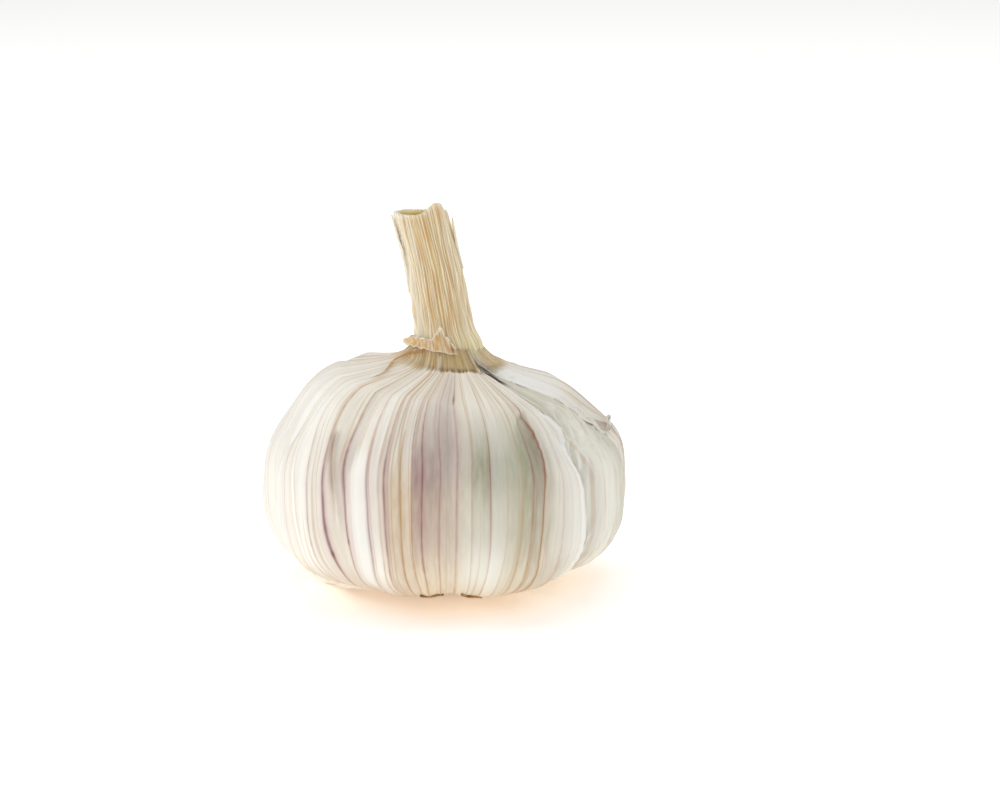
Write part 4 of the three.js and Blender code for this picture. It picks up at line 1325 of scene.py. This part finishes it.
def plate_grid():
    """The plate's profile turned about Z: flat underside, rounded side, flat top, with lumps that grow
    towards its rim and never reach below the underside."""
    bearing = np.arange(PLATE_COLUMNS) * 360 / PLATE_COLUMNS
    corner = np.arange(len(PLATE_SIDE))
    fine = np.linspace(0, corner[-1], 26)
    side = np.stack([np.interp(fine, corner, PLATE_SIDE[:, k]) for k in (0, 1)], axis=-1)
    profile = np.concatenate([np.linspace(*PLATE_UNDER, 16), side[1:], np.linspace(*PLATE_TOP, 6)[1:]])
    plain, level = profile[:, :1], profile[:, 1:]
    radius = plain * (1 + 0.035 * waves(bearing[None], level * 10, 24, 12, 101))
    lumps = 0.22 * waves(bearing[None], plain * 9, 15, 14, 102) * smooth(plain / 3)
    height = level + np.abs(lumps) * (level < 1.5)
    return np.stack([radius * np.sin(bearing * RAD), -radius * np.cos(bearing * RAD), height], axis=-1)


print("the plate is", 2 * PLATE_RADIUS, "mm wide and has", plate_grid().shape[0], "rows")

# %% Roots: short stubs, and two bits that cling to the skin
STUB_COUNT = 44
SIDES = 7
CLINGING_ROOTS = [
    [(-9.8, -49), (-6, -52), (-3, -50.5), (-1, -52)],
    [(6.4, -50), (10, -53), (13, -52), (15, -54.5)],
]
CLINGING_LAYER = dict(OUTER, offset=-0.1)
CLINGING_RINGS = 24


def tube_along(path, size):
    """A tube of seven sides round a path, as points and faces: each ring lies square to the path's
    direction, with one of its axes level, and its radius is the size there. Both ends are closed."""
    way = np.gradient(path, axis=0)
    way /= np.linalg.norm(way, axis=1, keepdims=True)
    left = np.stack([-way[:, 1], way[:, 0], 0 * way[:, 0]], axis=1)
    left /= np.linalg.norm(left, axis=1, keepdims=True)
    up = np.cross(way, left)
    turn = np.arange(SIDES) * 2 * np.pi / SIDES
    ring = left[:, None] * np.cos(turn)[:, None] + up[:, None] * np.sin(turn)[:, None]
    points = path[:, None] + ring * size[:, None, None]
    points[..., 2] = np.maximum(points[..., 2], 0.04)
    faces = [tuple(face) for face in grid_faces(len(path), SIDES, True)]
    last = (len(path) - 1) * SIDES
    faces += [tuple(range(SIDES - 1, -1, -1)), tuple(range(last, last + SIDES))]
    return points.reshape(-1, 3), faces


def root_stub(number):
    """A trimmed root: it leaves the plate sideways, drifts a little and droops."""
    draw = np.random.default_rng(200 + number)
    bearing = (360 * (number + 0.7 * draw.uniform(-0.5, 0.5)) / STUB_COUNT) * RAD
    along = np.linspace(0, 1, 6)
    reach = draw.uniform(5.9, 6.4) + draw.uniform(1.2, 3.0) * along
    drift = draw.uniform(-0.9, 0.9) * along**2
    level = draw.uniform(0.55, 1.2) - 0.25 * along**2
    side = reach * math.sin(bearing) + drift * math.cos(bearing)
    front = -reach * math.cos(bearing) + drift * math.sin(bearing)
    return tube_along(np.stack([side, front, level], axis=1), draw.uniform(0.22, 0.42) * (1 - 0.45 * along))


print("a stub has", len(root_stub(0)[0]), "points")

# %% Build the root plate
def root_plate():
    """The plate with the stubs of its roots, and the two bits that cling to the skin, as one mesh."""
    grid = plate_grid()
    middles = np.array([[0, 0, grid[row, :, 2].mean()] for row in (0, -1)])
    plate, faces = closed_grid(grid, middles)
    roots = [root_stub(number) for number in range(STUB_COUNT)]
    for places in CLINGING_ROOTS:
        path = drawn(places, CLINGING_LAYER, CLINGING_RINGS)
        roots.append(tube_along(path, np.linspace(0.3, 0.2, CLINGING_RINGS)))
    points = [plate]
    total = len(plate)
    for root, root_faces in roots:
        points.append(root)
        faces += [tuple(np.array(face) + total) for face in root_faces]
        total += len(root)
    make_piece("root_plate_cork", np.concatenate(points), faces, cork_finish, "root_plate")
    print("it has", len(roots), "roots")


root_plate()

# %% [markdown]
# ## The studio
# The picture is high key: a white table that runs off into white, wide soft lights at both sides and a
# little behind, which put bright rims on the bulb and leave its middle a shade darker, and a soft light
# above. The camera looks down by 13 degrees through a long lens, from the place that the photograph was
# taken from.

# %% Floor
TABLE_HALF = 4.0


def pale_floor():
    """A wide white table lit from below and barely glossy, whose light turns a faint peach close to the
    bulb: a painted glow for the warm light that the bulb throws on the table.
    """
    material, tree, shader, _ = new_finish("white table")
    solid = add_node(tree, "ShaderNodeTexCoord").outputs["Object"]
    far = add_node(tree, "ShaderNodeVectorMath", {0: solid}, operation="LENGTH").outputs["Value"]
    levels = {"Value": far, "From Min": 14 * MM, "From Max": 36 * MM, "To Min": 1.0, "To Max": 0.0}
    near = add_node(tree, "ShaderNodeMapRange", levels, interpolation_type="SMOOTHERSTEP").outputs["Result"]
    # Painted light: the peach glow close to the bulb.
    tints = {MIX_SHARE: near, MIX_FIRST: linear("#FFFFFF"), MIX_SECOND: linear("#FFE6CE")}
    tint = add_node(tree, "ShaderNodeMix", tints, data_type="RGBA").outputs[MIX_RESULT]
    tree.links.new(tint, shader.inputs["Emission Color"])
    shader.inputs["Emission Strength"].default_value = 0.36
    shader.inputs["Base Color"].default_value = linear("#FAFAF8")
    shader.inputs["Roughness"].default_value = 0.5
    shader.inputs["Specular IOR Level"].default_value = 0.25
    corners = [(x * TABLE_HALF, y * TABLE_HALF, 0) for x, y in ((-1, -1), (1, -1), (1, 1), (-1, 1))]
    mesh = bpy.data.meshes.new("table")
    mesh.from_pydata(corners, [], [(0, 1, 2, 3)])
    mesh.materials.append(material)
    table = bpy.data.objects.new("table", mesh)
    bpy.context.scene.collection.objects.link(table)
    table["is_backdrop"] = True
    return table


floor = pale_floor()
print("table:", floor.dimensions[:2], "m")

# %% Lights
MIDDLE = (0.0, 0.0, 0.025)


def soft_light(name, place, size, watts):
    """A square soft white light at a place, in metres, turned towards the middle of the bulb."""
    lamp = bpy.data.lights.new(name, "AREA")
    lamp.size = size
    lamp.energy = watts
    light = bpy.data.objects.new(name, lamp)
    light.location = place
    way = Vector(MIDDLE) - Vector(place)
    light.rotation_euler = way.to_track_quat("-Z", "Y").to_euler()
    bpy.context.scene.collection.objects.link(light)


soft_light("left softbox", (-0.75, 0.1, 0.42), 0.6, 2.4)
soft_light("right softbox", (0.8, 0.2, 0.4), 0.6, 2.1)
soft_light("overhead softbox", (0.0, 0.3, 0.9), 0.8, 3.4)
soft_light("front fill", (-0.35, -0.9, 0.4), 0.7, 2.4)
world = bpy.data.worlds.new("white room")
world.use_nodes = True
world.node_tree.nodes["Background"].inputs["Color"].default_value = (1, 1, 1, 1)
world.node_tree.nodes["Background"].inputs["Strength"].default_value = 0.32
bpy.context.scene.world = world
bpy.context.scene.view_settings.view_transform = "Standard"

# %% Camera
CAMERA_AIM = Vector((8.6, 0.0, 30.2)) * MM
CAMERA_DISTANCE = 600 * MM
CAMERA_DOWN = 13 * RAD

lens = bpy.data.cameras.new("long lens")
lens.sensor_width = 36
lens.lens = 133
camera = bpy.data.objects.new("camera", lens)
camera.location = CAMERA_AIM + CAMERA_DISTANCE * Vector((0, -math.cos(CAMERA_DOWN), math.sin(CAMERA_DOWN)))
camera.rotation_euler = (math.pi / 2 - CAMERA_DOWN, 0, 0)
bpy.context.scene.collection.objects.link(camera)
bpy.context.scene.camera = camera
print("camera at", [round(1000 * c) for c in camera.location], "mm")

# %% Sizes, and the end of the script
low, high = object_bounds()
past_low = [round(1000 * (a - b), 2) for a, b in zip(cad_low, low)]
past_high = [round(1000 * (b - a), 2) for a, b in zip(cad_high, high)]
print("past the solids' box in mm:", past_low, past_high)
